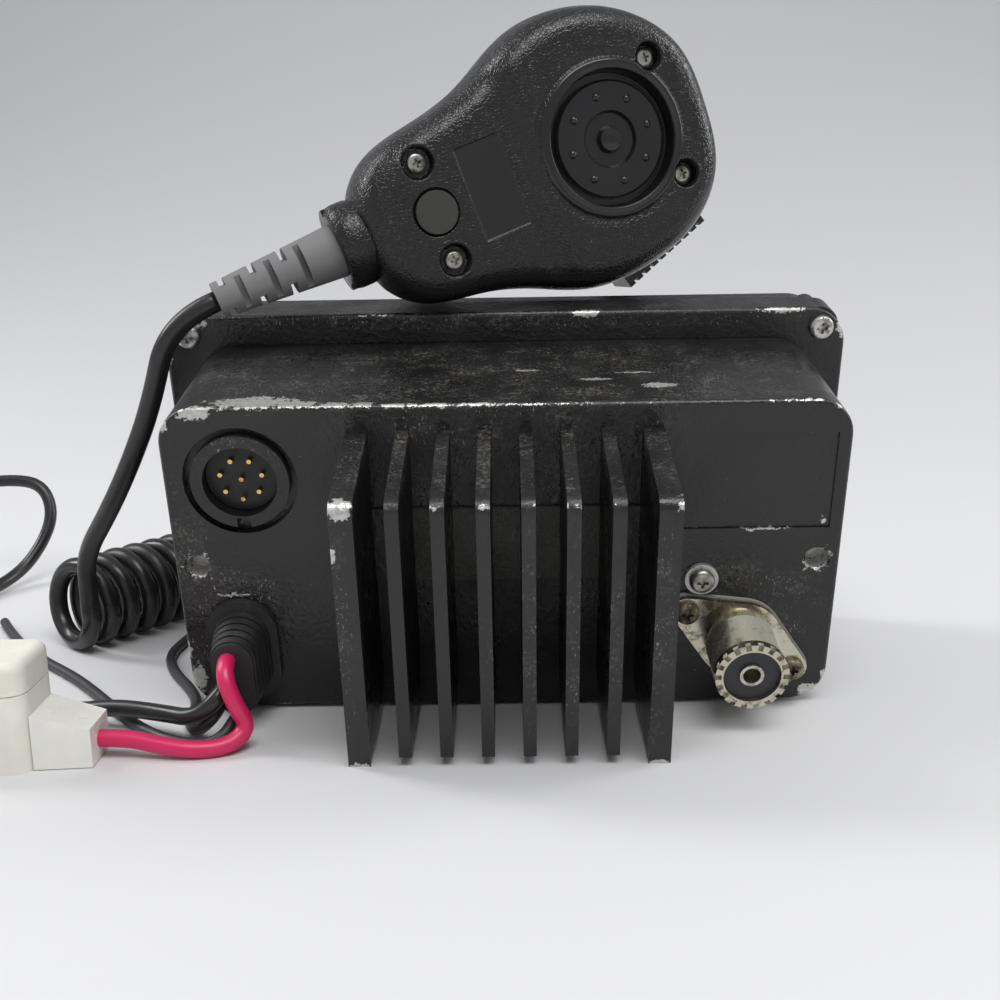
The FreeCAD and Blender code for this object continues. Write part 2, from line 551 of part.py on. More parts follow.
# The front panel: gasket, rear frame and bezel, which four screws from behind hold together.
def front_panel():
    inner = "chassis_wall + 2"
    mouth = (f"-chassis_wide / 2 + {inner}", f"chassis_wide / 2 - ({inner})",
             f"chassis_bottom + {inner}", f"chassis_top - ({inner})")
    rim = ("-chassis_wide / 2 + gasket_inset", "chassis_wide / 2 - gasket_inset",
           "chassis_bottom + gasket_inset", "chassis_top - gasket_inset")
    seal = cut(slab(rim, "chassis_deep", "gasket_thick", "chassis_corner - gasket_inset"),
               slab(mouth, "chassis_deep - 1", "gasket_thick + 2", "chassis_corner - chassis_wall - 2"))
    piece(seal, "panel_gasket", stance)
    outer = slab(panel_edges("0"), FRAME, "frame_thick", "panel_corner", rear_round="edge_round")
    cavity = slab(panel_edges("panel_wall"), f"{FRAME} + panel_wall", "frame_thick", "panel_corner - panel_wall")
    opening = slab(mouth, f"{FRAME} - 1", "panel_wall + 2", "chassis_corner - chassis_wall - 2")
    holes = [rod("y", (x, f"{FRAME} - 1", z), "frame_thick + 2", "panel_screw_shank + 0.2")
             for x, z in screw_spots()]
    bosses = [rod("y", (x, f"{FRAME} + panel_wall / 2", z), "frame_thick - panel_wall / 2", "panel_boss")
              for x, z in screw_spots()]
    piece(cut(joined(cut(outer, cavity, opening), *bosses), *holes), "front_frame", stance)
    screws = [pan_screw((x, FRAME, z), "panel_screw_head", "panel_screw_shank", "frame_thick + 5")
              for x, z in screw_spots()]
    feature("panel_screws", Part.makeCompound(screws))
    bezel()


# The bezel: the radio's face, with its window, slots and holes, and its posts behind.
def bezel():
    outer = slab(panel_edges("bezel_inset"), BEZEL, "bezel_thick", "panel_corner", front_round="2.5")
    cavity = slab(panel_edges("bezel_inset + panel_wall"), f"{BEZEL} - 1", "bezel_thick - bezel_face + 1",
                  "panel_corner - panel_wall")
    added = []
    for x, z in screw_spots():
        added.append(rod("y", (x, BEZEL, z), f"{FACE_BACK} + 0.5 - ({BEZEL})", "panel_screw_head"))
    for side in ("-", ""):
        for z in ("panel_top - panel_screw_up - 6", "-panel_drop + panel_screw_up + 6"):
            added.append(rod("y", (f"{side}({DISPLAY_WIDE} / 2 - 4)", BOARD, z),
                             f"{FACE_BACK} + 0.5 - ({BOARD})", "2.2"))
    removed = [box((f"lcd_x - {LCD_WIDE} / 2", f"{FACE} - lens_thick", "lcd_z - lcd_tall / 2"),
                   (LCD_WIDE, "lens_thick + 1", "lcd_tall")),
               box((f"lcd_x - {LCD_WIDE} / 2 + 2", f"{FACE_BACK} - 1", "lcd_z - lcd_tall / 2 + 2"),
                   (f"{LCD_WIDE} - 4", "bezel_face + 2", "lcd_tall - 4")),
               rod("y", ("gland_x", f"{FACE_BACK} - 1", "gland_z"), "bezel_face + 2", "gland_small + 0.1")]
    for x, z in screw_spots():
        removed.append(rod("y", (x, FRAME, z), "frame_thick + 6", "panel_screw_shank + 0.05"))
    for slot in range(int(number("slot_count"))):
        middle = f"speaker_z + ({slot} - (slot_count - 1) / 2) * slot_pitch"
        removed.append(box((f"{SPEAKER_X} - slot_wide / 2", f"{FACE_BACK} - 1", f"{middle} - slot_tall / 2"),
                           ("slot_wide", "bezel_face + 2", "slot_tall")))
    for place in range(int(number("key_count"))):
        removed.append(key_block(key_middle(place), "key_z", "key_wide + 2 * key_gap",
                                 "key_tall + 2 * key_gap", f"{FACE_BACK} - 1", "bezel_face + 2"))
    removed.append(key_block("help_x", "help_z", "help_wide + 2 * key_gap", "help_tall + 2 * key_gap",
                             f"{FACE_BACK} - 1", "bezel_face + 2"))
    for x, z in ((DIAL_X, "dial_z"), (VOLUME_X, "small_dial_z"), (SQUELCH_X, "small_dial_z")):
        removed.append(rod("y", (x, f"{FACE_BACK} - 1", z), "bezel_face + 2", "spindle + spindle_gap"))
    ears = []
    for side in ("-", ""):
        inner_side = f"help_x + {side}(cover_wide / 2 + 0.3)"
        start = inner_side if side == "" else f"{inner_side} - 1.6"
        ear = box((start, f"{FACE} - 0.5", f"{HINGE_Z} - hinge_pin - 1"),
                  ("1.6", f"{HINGE_Y} + hinge_pin + 1 - ({FACE} - 0.5)", "2 * hinge_pin + 2"))
        ears.append(ear)
    bore = rod("x", ("help_x - cover_wide", HINGE_Y, HINGE_Z), "2 * cover_wide", "hinge_pin + 0.02")
    shell = joined(cut(outer, cavity), *added, cut(joined(*ears), bore))
    piece(cut(shell, *removed), "front_bezel", stance)
    lens = box((f"lcd_x - {LCD_WIDE} / 2 + 0.1", f"{FACE} - lens_thick", "lcd_z - lcd_tall / 2 + 0.1"),
               (f"{LCD_WIDE} - 0.2", "lens_thick", "lcd_tall - 0.2"))
    piece(lens, "lcd_lens", stance)


HINGE_Y = f"{FACE} + help_proud + cover_gap + cover_thick / 2"
HINGE_Z = "help_z + cover_tall / 2 + hinge_rise"


def key_block(x, z, wide, tall, start, deep, corner=None):
    return slab((f"{x} - ({wide}) / 2", f"{x} + ({wide}) / 2", f"{z} - ({tall}) / 2", f"{z} + ({tall}) / 2"),
                start, deep, corner or "key_corner")


# A key: a cap through the face, with a flange behind that keeps it in.
def push_key(label, x, z, wide, tall, proud):
    back = f"{FACE_BACK} - key_gap - key_flange"
    cap = key_block(x, z, wide, tall, back, f"{FACE} + {proud} - ({back})")
    flange = key_block(x, z, f"{wide} + 2 * key_flange + key_gap", f"{tall} + 2 * key_flange + key_gap", back,
                       "key_flange")
    piece(joined(cap, flange), label, stance)


# A knob on its spindle, and the control behind the face that carries the spindle.
def dial(label, x, z, radius, long):
    back = f"{FACE} + dial_gap"
    rounds = [taper("y", (x, back, z), f"{long} - 1", f"{radius} + 0.6", radius),
              taper("y", (x, f"{back} + {long} - 1", z), "1", radius, f"{radius} - 1")]
    removed = [rod("y", (x, f"{back} - 1", z), "spindle_in + 1 + spindle_gap", "spindle + spindle_gap"),
               box((f"{x} - 0.5", f"{back} + {long} - 0.6", z), ("1", "2", radius))]
    count = int(number("dial_ribs"))
    for rib in range(count):
        turn = f"{360 / count * (rib + 0.5)} deg"
        removed.append(rod("y", (f"{x} + ({radius} + 0.5) * cos({turn})", f"{back} + 2",
                                 f"{z} + ({radius} + 0.5) * sin({turn})"), long, "dial_rib"))
    piece(cut(joined(*rounds), *removed), f"{label}_knob", stance)
    body = box((f"{x} - pot_wide / 2", BOARD, f"{z} - pot_wide / 2"),
               ("pot_wide", f"{FACE_BACK} - board_gap - ({BOARD})", "pot_wide"))
    spindle = rod("y", (x, BOARD, z), f"{back} + spindle_in - ({BOARD})", "spindle")
    piece(joined(body, spindle), f"{label}_control", stance)


# The distress key's hinged cover and its pin.
def help_cover():
    plate_back = f"{FACE} + help_proud + cover_gap"
    plate = box(("help_x - cover_wide / 2", plate_back, "help_z - cover_tall / 2 - 1"),
                ("cover_wide", "cover_thick", f"{HINGE_Z} - (help_z - cover_tall / 2 - 1)"))
    barrel = rod("x", ("help_x - cover_wide / 2", HINGE_Y, HINGE_Z), "cover_wide", "hinge_pin + 1.1")
    bore = rod("x", ("help_x - cover_wide", HINGE_Y, HINGE_Z), "2 * cover_wide", "hinge_pin + 0.3")
    piece(cut(joined(plate, barrel), bore), "distress_cover", stance)
    pin = rod("x", ("help_x - cover_wide / 2 - 1.9", HINGE_Y, HINGE_Z), "cover_wide + 3.8", "hinge_pin")
    piece(pin, "distress_cover_pin", stance)


# The gland on the face that the microphone's cord comes out of.
def cord_gland():
    body = joined(rod("y", ("gland_x", f"{FACE_BACK} - 1", "gland_z"), "bezel_face + 2", "gland_small"),
                  rod("y", ("gland_x", f"{FACE_BACK} - 2", "gland_z"), "2", "gland_big"),
                  taper("y", ("gland_x", FACE, "gland_z"), "gland_long", "gland_big", "gland_small"))
    piece(body, "cord_gland", stance)


# The microphone's outline at its seam, from the nose round over the top.
MIC_OUTLINE = [(28.6, -1), (26.6, 14), (17, 25.6), (2, 31.8), (-13, 30.8), (-27, 24.2), (-42, 20.2),
               (-55, 16.6), (-62, 9.2), (-63.4, -1.5), (-61.2, -12.6), (-54, -19.2), (-40, -22.4),
               (-27, -26.6), (-14, -32), (1, -32.4), (16, -27.6), (26.2, -16.5)]


# That outline drawn in by some amount, at some height.
def mic_ring(inset, z):
    spots = [Vector(x, y, 0) for x, y in MIC_OUTLINE]
    moved = []
    for place, spot in enumerate(spots):
        ahead = spots[(place + 1) % len(spots)] - spots[place - 1]
        inward = Vector(-ahead.y, ahead.x, 0).normalize()
        moved.append(spot + inward * inset + Vector(0, 0, z))
    curve = Part.BSplineCurve()
    curve.interpolate(moved, PeriodicFlag=True)
    return Part.Wire(curve.toShape())


def mic_loft(rings):
    return Part.makeLoft([mic_ring(inset, z) for inset, z in rings], True, False)


def bar(start, end, radius):
    way = end - start
    return Part.makeCylinder(radius, way.Length, start, way)


# A block in the talk bar's frame: from how far out, to how far out, and half its width.
def talk_block(inner, outer, half, low, high):
    block = Part.makeBox(outer - inner, 2 * half, high - low, Vector(inner, -half, low))
    block.rotate(Vector(), Vector(0, 0, 1), number("talk_turn"))
    return block


def mic_screw_spots():
    return [(number("mic_screw_x"), number("mic_screw_y")), (number("mic_screw_x"), -number("mic_screw_y")),
            (number("nose_screw_x"), number("nose_screw_y")), (number("nose_screw_x"), -number("nose_screw_y"))]


# The two shells, which meet at the seam.
def mic_shells():
    back = number("mic_back")
    front = number("mic_front")
    wall = number("mic_wall")
    seam = number("mic_seam")
    tail = bar(Vector(number("tail_start"), 0, 0), Vector(-58, 0, 0), number("tail_radius"))
    upper = Part.makeBox(200, 200, 60, Vector(-100, -100, 0))
    lower = Part.makeBox(200, 200, 60, Vector(-100, -100, -60 - seam))
    relief_hole = bar(Vector(number("tail_start") - 1, 0, 0), Vector(-50, 0, 0), number("relief_small") + 0.85)
    rear = mic_loft([(0, 0), (0.8, back * 0.55), (2.8, back * 0.86), (6.5, back)]).fuse(tail.common(upper))
    inside = mic_loft([(wall, -1), (wall + 0.4, back * 0.4), (wall + 2.4, back * 0.68), (7, back - wall)])
    depth = number("disc_seat")
    seat_wall = number("disc_radius") + number("disc_gap") + 1.6
    bosses = [Part.makeCylinder(seat_wall, depth + 1.2, Vector(0, 0, back - depth - 1.6))]
    cuts = [Part.makeCylinder(seat_wall - 1.6, depth + 1, Vector(0, 0, back - depth)),
            Part.makeCylinder(number("plug_radius") + 0.1, 4, Vector(number("mic_screw_x"), 0,
                                                                   back - number("plug_thick"))),
            Part.makeBox(number("label_wide"), number("label_tall"), 3,
                         Vector(number("label_x") - number("label_wide") / 2, -number("label_tall") / 2,
                                back - number("label_sunk"))),
            relief_hole]
    well = number("screw_well_deep")
    for x, y in mic_screw_spots():
        bosses.append(Part.makeCylinder(number("screw_well") + 0.9, well + 2.2, Vector(x, y, back - well - 2.4)))
        cuts.append(Part.makeCylinder(number("screw_well"), well + 2, Vector(x, y, back - well)))
        cuts.append(Part.makeCylinder(number("mic_screw_shank") + 0.1, 20, Vector(x, y, back - 12)))
    groove = number("valley_deep")
    groove_radius = 26
    lean = Vector(0.16, 1, 0)
    start = Vector(number("valley_x") - 6.0, 0, back - groove + groove_radius)
    cuts.append(Part.makeCylinder(groove_radius, 160, start - lean * 80, lean))
    seated = Part.makeCylinder(seat_wall, depth + 1.6, Vector(0, 0, back - depth - 1.6))
    shell = rear.cut(inside).fuse([boss.common(rear) for boss in bosses])
    shell = shell.cut(cuts[-1].cut(seated)).cut(cuts[:-1])
    feature("mic_rear_shell", shell, mic_place)
    body = mic_loft([(0.2, -seam), (0.6, -front * 0.3), (2.6, -front * 0.62), (6.0, -front * 0.9),
                     (10, -front)]).fuse(tail.common(lower))
    hollow = mic_loft([(wall + 0.2, 1), (wall + 0.6, -front * 0.25), (wall + 2.6, -front * 0.52),
                       (wall + 6.2, -front + wall)])
    posts = []
    floor = -front + wall / 2
    for x, y in mic_screw_spots():
        post = bar(Vector(x, y, floor), Vector(x, y, back - well - 2.5), 2.6)
        posts.append(post.cut(bar(Vector(x, y, 0), Vector(x, y, back), number("mic_screw_shank") + 0.1)))
    for x in (-36, 4):
        posts.append(bar(Vector(x, 0, floor), Vector(x, 0, -4 - number("mic_board_thick")), 2))
    gap = number("talk_gap")
    removed = [relief_hole,
               talk_block(number("talk_out") - 9, 60, number("talk_wide") / 2 + gap, number("talk_low") - gap,
                          number("talk_high") + gap)]
    key_gap = number("mic_key_gap")
    for side in (-1, 1):
        removed.append(mic_key_block(side, key_gap, -front - 3, -front + wall + 3))
    for x, y in ((0, 0), (2.6, 0), (-2.6, 0), (0, 2.6), (0, -2.6)):
        spot = Vector(number("capsule_x") + x, y, -front - 1)
        removed.append(Part.makeCylinder(0.8, wall + 1.5, spot))
    feature("mic_front_shell", body.cut(hollow).fuse(posts).cut(removed), mic_place)


def mic_key_block(side, gap, low, high):
    wide = number("mic_key_wide") + 2 * gap
    tall = number("mic_key_tall") + 2 * gap
    return Part.makeBox(wide, tall, high - low,
                        Vector(number("mic_key_x") - wide / 2, side * number("mic_key_y") - tall / 2, low))


# What the shells hold: round disc, plug, screws, board, capsule, keys and talk bar.
def mic_fittings():
    back = number("mic_back")
    front = number("mic_front")
    wall = number("mic_wall")
    seat = back - number("disc_seat")
    top = seat + number("disc_thick")
    hub = number("hub_radius")
    dome = number("dome_radius")
    edge = number("disc_radius")
    profile = [(0, seat), (edge, seat), (edge, top - 0.5), (edge - 0.5, top), (hub, top), (hub - 0.6, top - 0.9),
               (dome, top - 0.9), (dome * 0.8, top + 0.5), (dome * 0.3, top + 0.9), (0, top + 0.9)]
    face = Part.Face(Part.makePolygon([Vector(x, 0, z) for x, z in profile + profile[:1]]))
    disc = face.revolve(Vector(), Vector(0, 0, 1), 360)
    ball = number("dimple_radius")
    for dimple in range(8):
        turn = math.radians(45 * dimple)
        spot = Vector(math.cos(turn), math.sin(turn), 0) * number("dimple_circle") + Vector(0, 0, top - ball / 2)
        disc = disc.fuse(Part.makeSphere(ball, spot))
    feature("mic_round_disc", disc, mic_place)
    thick = number("plug_thick")
    plug = Part.makeCylinder(number("plug_radius"), thick + 0.4,
                             Vector(number("mic_screw_x"), 0, back - thick))
    feature("mic_plug", plug, mic_place)
    screws = []
    for x, y in mic_screw_spots():
        screw = pan_screw(("0", "0", "0"), "mic_screw_head", "mic_screw_shank", "9")
        screw.rotate(Vector(), Vector(1, 0, 0), -90)
        screw.translate(Vector(x, y, back - number("screw_well_deep")))
        screws.append(screw)
    feature("mic_screws", Part.makeCompound(screws), mic_place)
    board = Part.makeBox(48, 16, number("mic_board_thick"), Vector(-40, -8, -4 - number("mic_board_thick")))
    feature("mic_board", board, mic_place)
    capsule = Part.makeCylinder(number("capsule_radius"), number("capsule_thick"),
                                Vector(number("capsule_x"), 0, -front + wall))
    feature("mic_capsule", capsule, mic_place)
    out = number("talk_out")
    talk = talk_block(out - 5, out + number("talk_proud"), number("talk_wide") / 2, number("talk_low"),
                      number("talk_high"))
    ribs = [talk_block(out + number("talk_proud") - 0.9, out + number("talk_proud") + 1, 0.5,
                       number("talk_low") - 1, number("talk_high") + 1)]
    along_bar = Vector(0, 1, 0)
    turn = Rotation(Vector(0, 0, 1), number("talk_turn"))
    for place in range(-4, 5):
        groove = ribs[0].copy()
        groove.translate(turn.multVec(along_bar * 2.7 * place))
        talk = talk.cut(groove)
    feature("talk_bar", talk, mic_place)
    for side, label in ((1, "mic_up_key"), (-1, "mic_down_key")):
        cap = mic_key_block(side, 0, -front - number("mic_key_proud"), -front + wall + 1.6)
        flange = mic_key_block(side, 0.9, -front + wall + 0.3, -front + wall + 1.6)
        feature(label, cap.fuse(flange), mic_place)


# The grey cord guard on the tail, with its staggered slots.
def strain_relief():
    root = number("relief_root")
    long = number("relief_long")
    big = number("relief_big")
    small = number("relief_small")
    body = Part.makeCone(big, small, long, Vector(root, 0, 0), Vector(-1, 0, 0))
    body = body.fuse(bar(Vector(root, 0, 0), Vector(root + 8, 0, 0), small + 0.8))
    body = body.fuse(bar(Vector(root + 8, 0, 0), Vector(root + 10, 0, 0), small + 0.7))
    rows = int(number("relief_slots"))
    core = number("curl_wire") / 2 + 0.3
    for row in range(rows):
        x = root - long * (0.3 + 0.62 * row / (rows - 1))
        for side in range(2):
            slot = Part.makeBox(1.5, 4 * big, big, Vector(x - 0.75, -2 * big, core))
            slot.rotate(Vector(), Vector(1, 0, 0), 180 * side + 90 * (row % 2))
            body = body.cut(slot)
    feature("mic_strain_relief", body, mic_place)
    return Vector(root - long, 0, 0)


# The microphone stands on the panel's top edge, turned, leant and rolled as it was put there.
def mic_stand():
    turn = Rotation(Vector(0, 0, 1), number("mic_yaw"))
    turn = turn.multiply(Rotation(Vector(1, 0, 0), 90 - number("mic_lean")))
    turn = turn.multiply(Rotation(Vector(0, 0, 1), number("mic_roll")))
    probe = mic_loft([(0.2, 0), (0.6, -number("mic_front") * 0.3), (2.6, -number("mic_front") * 0.62),
                      (6.0, -number("mic_front") * 0.9)])
    probe.Placement = Placement(Vector(), turn)
    height = number("panel_top + mic_seat") - probe.optimalBoundingBox().ZMin
    return stance.multiply(Placement(Vector(number("mic_x"), number("mic_y"), height), turn))


def unit(vector):
    return Vector(vector).normalize()


# Straight runs joined by tangent arcs, each arc as large as its two runs allow.
def bent_path(route):
    edges = []
    radii = []
    start = route[0]
    for before, corner, after in zip(route, route[1:], route[2:]):
        first = unit(corner - before)
        second = unit(after - corner)
        turn = first.getAngle(second)
        reach = 0.45 * min((corner - before).Length, (after - corner).Length)
        radius = reach / math.tan(turn / 2)
        radii.append(radius)
        arc_start = corner - first * reach
        arc_end = corner + second * reach
        bulge = corner + unit(second - first) * (radius / math.cos(turn / 2) - radius)
        edges.append(Part.LineSegment(start, arc_start).toShape())
        edges.append(Part.Arc(arc_start, bulge, arc_end).toShape())
        start = arc_end
    edges.append(Part.LineSegment(start, route[-1]).toShape())
    return Part.Wire(edges), radii


# A round tube along such a path, checked by its volume.
def tube(label, route, diameter):
    path, radii = bent_path(route)
    ring = Part.Wire(Part.makeCircle(diameter / 2, route[0], route[1] - route[0]))
    solid = path.makePipeShell([ring], True, False)
    whole = math.pi * diameter ** 2 / 4 * path.Length
    print(f"{label}: length {path.Length:.1f}, radii {[round(radius, 1) for radius in radii]},"
          f" volume share {solid.Volume / whole:.4f}")
    feature(label, solid, table)


# Where the coil's middle line is, and which way it heads, some way along it.
def coil_line(way):
    straight = number("curl_straight")
    bend = number("curl_bend")
    heading = math.radians(number("curl_heading"))
    ahead = Vector(math.cos(heading), math.sin(heading), 0)
    spot = Vector(number("curl_x"), number("curl_y"), number("curl_radius + curl_wire / 2"))
    if way <= straight:
        return spot + ahead * way, ahead
    spot += ahead * straight
    turned_by = min((way - straight) / bend, heading)
    centre = spot + Vector(ahead.y, -ahead.x, 0) * bend
    now = heading - turned_by
    ahead = Vector(math.cos(now), math.sin(now), 0)
    spot = centre + Vector(-ahead.y, ahead.x, 0) * bend
    return spot + ahead * max(0, way - straight - bend * heading), ahead


# A point of the curls, by its turn: it goes down on the side nearest the rear face.
def curl_point(turn):
    spot, ahead = coil_line(turn * number("curl_pitch"))
    across = Vector(ahead.y, -ahead.x, 0)
    angle = -2 * math.pi * turn
    return spot + (across * math.cos(angle) + Vector(0, 0, math.sin(angle))) * number("curl_radius")


def curl_way(turn):
    step = 0.001
    return unit(curl_point(turn + step) - curl_point(turn - step))


# Two arcs that join two points and keep their directions.
def biarc(start, leaving, end, arriving):
    chord = end - start
    both = leaving + arriving
    bend = 2 * (1 - leaving.dot(arriving))
    reach = (-chord.dot(both) + math.sqrt(chord.dot(both) ** 2 + bend * chord.dot(chord))) / bend
    middle = (start + end + (leaving - arriving) * reach) * 0.5
    return [arc_from(start, leaving, middle), arc_from(end, arriving * -1, middle)]


def arc_from(start, leaving, end):
    chord = end - start
    along_chord = unit(chord)
    side = unit(leaving - along_chord * leaving.dot(along_chord))
    rise = chord.Length / 2 * math.tan(leaving.getAngle(chord) / 2)
    return Part.Arc(start, (start + end) * 0.5 + side * rise, end).toShape()


# The curly part of the cord: one unbroken tube whose ends run straight for one diameter.
def curly_cord():
    wire = number("curl_wire")
    quarters = int(number("curl_turns")) * 4 + 1
    turns = [quarter / 4 for quarter in range(quarters + 1)]
    down = Vector(0, 0, -1)
    first = curl_point(0)
    top = first - down * wire
    last = curl_point(turns[-1])
    leaving = Vector(last - curl_point(turns[-1] - 0.001))
    leaving.z = 0
    leaving = unit(leaving)
    foot = last + leaving * wire
    edges = [Part.LineSegment(top, first).toShape()]
    for start, end in zip(turns, turns[1:]):
        start_way = down if start == 0 else curl_way(start)
        end_way = leaving if end == turns[-1] else curl_way(end)
        edges += biarc(curl_point(start), start_way, curl_point(end), end_way)
    edges.append(Part.LineSegment(last, foot).toShape())
    path = Part.Wire(Part.sortEdges(edges)[0])
    ring = Part.Wire(Part.makeCircle(wire / 2, top, down))
    solid = path.makePipeShell([ring], True, False)
    points = [curl_point(step / 40) for step in range(40 * quarters // 4)]
    gap = min((points[place] - points[place + offset]).Length for place in range(len(points) - 48)
              for offset in range(32, 48)) - wire
    print(f"mic_cord_coil: length {path.Length:.0f}, least gap {gap:.2f},"
          f" volume share {solid.Volume / (math.pi * wire ** 2 / 4 * path.Length):.4f}")
    feature("mic_cord_coil", solid, table)
    return top, foot, leaving


# A point of the radio's own frame, where it stands on the table.
def on_table(x, y, z):
    return stance.multVec(Vector(number(x), number(y), number(z)))


def route(*spots):
    return [Vector(*spot) for spot in spots]


# The microphone's cord: from its guard down to the curls, and from the curls to the gland.
def mic_cord(guard_end):
    wire = number("curl_wire")
    top, foot, leaving = curly_cord()
    start = mic_place.multVec(guard_end)
    out = mic_place.Rotation.multVec(Vector(-1, 0, 0))
    hanging = route((-83.5, 18.6, 69), (-91.3, 23.5, 54), (-99, 28.2, 41.5))
    tube("mic_cord_lead", [start, start + out * 12] + hanging + [top + Vector(0, 0, 11), top], wire)
    gland = on_table("gland_x", f"{FACE} + gland_long", "gland_z")
    straight = stance.Rotation.multVec(Vector(0, 13, 0))
    floor = wire / 2
    lying = route((-3.5, 136, floor), (10, 149, floor), (29, 150, floor), (45, 139, floor + 0.6),
                  (54, 122, 8.5), (58, 106, 17.5))
    tube("mic_cord_tail", [foot, foot + leaving * 8] + lying + [gland + straight, gland], wire)


# The power leads, the thin accessory leads and the fuse holder with its sleeve.
def leads():
    wire = number("lead_wire")
    thin = number("thin_wire")
    end = "-nose_long"
    red = on_table("red_out_x", end, "red_out_z")
    black = on_table("black_out_x", end, "black_out_z")
    right = on_table("thin_out_right", end, "thin_out_z")
    left = on_table("thin_out_left", end, "thin_out_z")
    out = stance.Rotation.multVec(Vector(0, -1, 0))
    floor = wire / 2
    low = thin / 2
    tip = Vector(number("fuse_right + sleeve_long"), number("sleeve_y"), number("sleeve_tip_tall") / 2)
    tube("red_lead", [red, red + out * 4.5] + route((-58.6, -21.8, 10.6), (-56, -20.4, 4.8),
         (-59.6, -24.0, floor), (-67, -25.8, floor), (-74.5, -25.2, 3.0)) + [tip + Vector(6, 0, 0), tip], wire)
    tube("black_lead", [black, black + out * 4.5] + route((-68, -18.6, 6.0), (-77, -13.4, 5.3),
         (-88, -9.4, 5.2), (-99, -6.6, 3.2), (-109, -2.6, floor), (-120, 3.6, floor), (-133, 8.2, floor),
         (-148, 17, floor), (-158, 34, floor), (-163, 60, floor), (-161.5, 88, floor), (-155.5, 104, 4.0),
         (-150, 111, 12), (-147.5, 116, 21), (-151, 119, 29.5), (-160, 120, 31.7), (-169, 119, 31)), wire)
    tube("accessory_lead_long", [right, right + out * 4] + route((-62.4, -22.0, 1.9), (-69.5, -21.6, low),
         (-78.5, -16, low), (-88, -6, low), (-97, 6, low), (-108, 19.5, low), (-122, 33, low), (-135, 49, low),
         (-144, 64, low)), thin)
    tube("accessory_lead_short", [left, left + out * 4] + route((-68.6, -16.4, low + 0.4), (-72.4, -9, low),
         (-72.6, 1, low), (-77, 11, low), (-84, 22, low), (-88.6, 34, low), (-87.6, 46, low),
         (-85.6, 56, low)), thin)
    far = number("fuse_left")
    tube("red_lead_end", route((far, -24, 5), (far - 8, -24, 5), (far - 18, -21, 2.6), (far - 27, -13, floor)),
         wire)
    fuse_holder(tip)


def rounded_box(low, high, corner):
    size = high - low
    solid = Part.makeBox(size.x, size.y, size.z, low)
    return solid.makeFillet(corner, [edge for edge in solid.Edges if along(edge, Vector(0, 0, 1))])


def fuse_holder(tip):
    low = Vector(number("fuse_left"), number("fuse_near"), 0)
    high = Vector(number("fuse_right"), number("fuse_far"), number("fuse_tall"))
    wall = number("fuse_wall")
    gap = number("fuse_gap")
    corner = number("fuse_corner")
    seam = number("fuse_tall - fuse_lid")
    body = rounded_box(low, Vector(high.x, high.y, seam), corner)
    inset = Vector(wall, wall, wall)
    body = body.cut(rounded_box(low + inset, Vector(high.x - wall, high.y - wall, seam + 1), corner - wall / 2))
    feature("fuse_holder_body", body, table)
    lid = rounded_box(Vector(low.x, low.y, seam + gap), high, corner)
    lid = lid.makeFillet(number("fuse_round"), [edge for edge in lid.Edges if edge.BoundBox.ZMin > high.z - gap / 2])
    lid = lid.cut(rounded_box(Vector(low.x + wall, low.y + wall, seam - 1),
                              Vector(high.x - wall, high.y - wall, high.z - wall), corner - wall / 2))
    latch = Part.makeBox(8, 1.4, 9, Vector((low.x + high.x) / 2 - 4, low.y - 1.6, seam - 5))
    bridge = Part.makeBox(8, 1.8, 2.4, Vector((low.x + high.x) / 2 - 4, low.y - 1.6, seam + 1.2))
    feature("fuse_holder_lid", lid.fuse([latch, bridge]), table)
    middle = (low + high) * 0.5
    wide = number("blade_wide")
    thick = number("blade_thick")
    blade = Part.makeBox(wide, thick, number("blade_tall"),
                         Vector(middle.x - wide / 2, middle.y - thick / 2, wall + gap))
    feature("blade_fuse", blade, table)
    sections = []
    for x, across, tall in ((high.x, "sleeve_wide", "sleeve_tall"), (tip.x, "sleeve_tip_wide", "sleeve_tip_tall")):
        half = number(across) / 2
        base = gap
        top = number(tall)
        spots = [Vector(x, tip.y - half, base), Vector(x, tip.y + half, base), Vector(x, tip.y + half, top),
                 Vector(x, tip.y - half, top)]
        sections.append(Part.makePolygon(spots + spots[:1]))
    feature("fuse_sleeve", Part.makeLoft(sections, True, True), table)


CORD_PIECES = ("mic_cord_", "red_lead", "black_lead", "accessory_lead", "fuse_", "blade_fuse")

chassis()
front_panel()
accessory_socket()
antenna_socket()
ground_terminal()
power_boot()
electronics()
cord_gland()
dial("channel", DIAL_X, "dial_z", "dial_radius", "dial_long")
dial("volume", VOLUME_X, "small_dial_z", "small_dial_radius", "small_dial_long")
dial("squelch", SQUELCH_X, "small_dial_z", "small_dial_radius", "small_dial_long")
for number_of_key in range(int(number("key_count"))):
    push_key(f"face_key_{number_of_key + 1}", key_middle(number_of_key), "key_z", "key_wide", "key_tall",
             "key_proud")
push_key("distress_key", "help_x", "help_z", "help_wide", "help_tall", "help_proud")
help_cover()
mic_place = mic_stand()
mic_shells()
mic_fittings()
mic_cord(strain_relief())
leads()
doc.recompute()

# The frame's origin is on the table, under the middle of everything but the cords.
box_of_all = FreeCAD.BoundBox()
for thing in parts:
    if not thing.Label.startswith(CORD_PIECES):
        box_of_all.add(thing.Shape.optimalBoundingBox())
shift = Vector(-box_of_all.Center.x, -box_of_all.Center.y, 0)
for thing in parts:
    thing.Placement = Placement(shift, Rotation()).multiply(thing.Placement)
doc.recompute()
print("origin shift", round(shift.x, 3), round(shift.y, 3), "tilt", round(tilt, 3))
print("microphone at", [round(value, 6) for value in Placement(shift, Rotation()).multiply(mic_place).toMatrix().A])

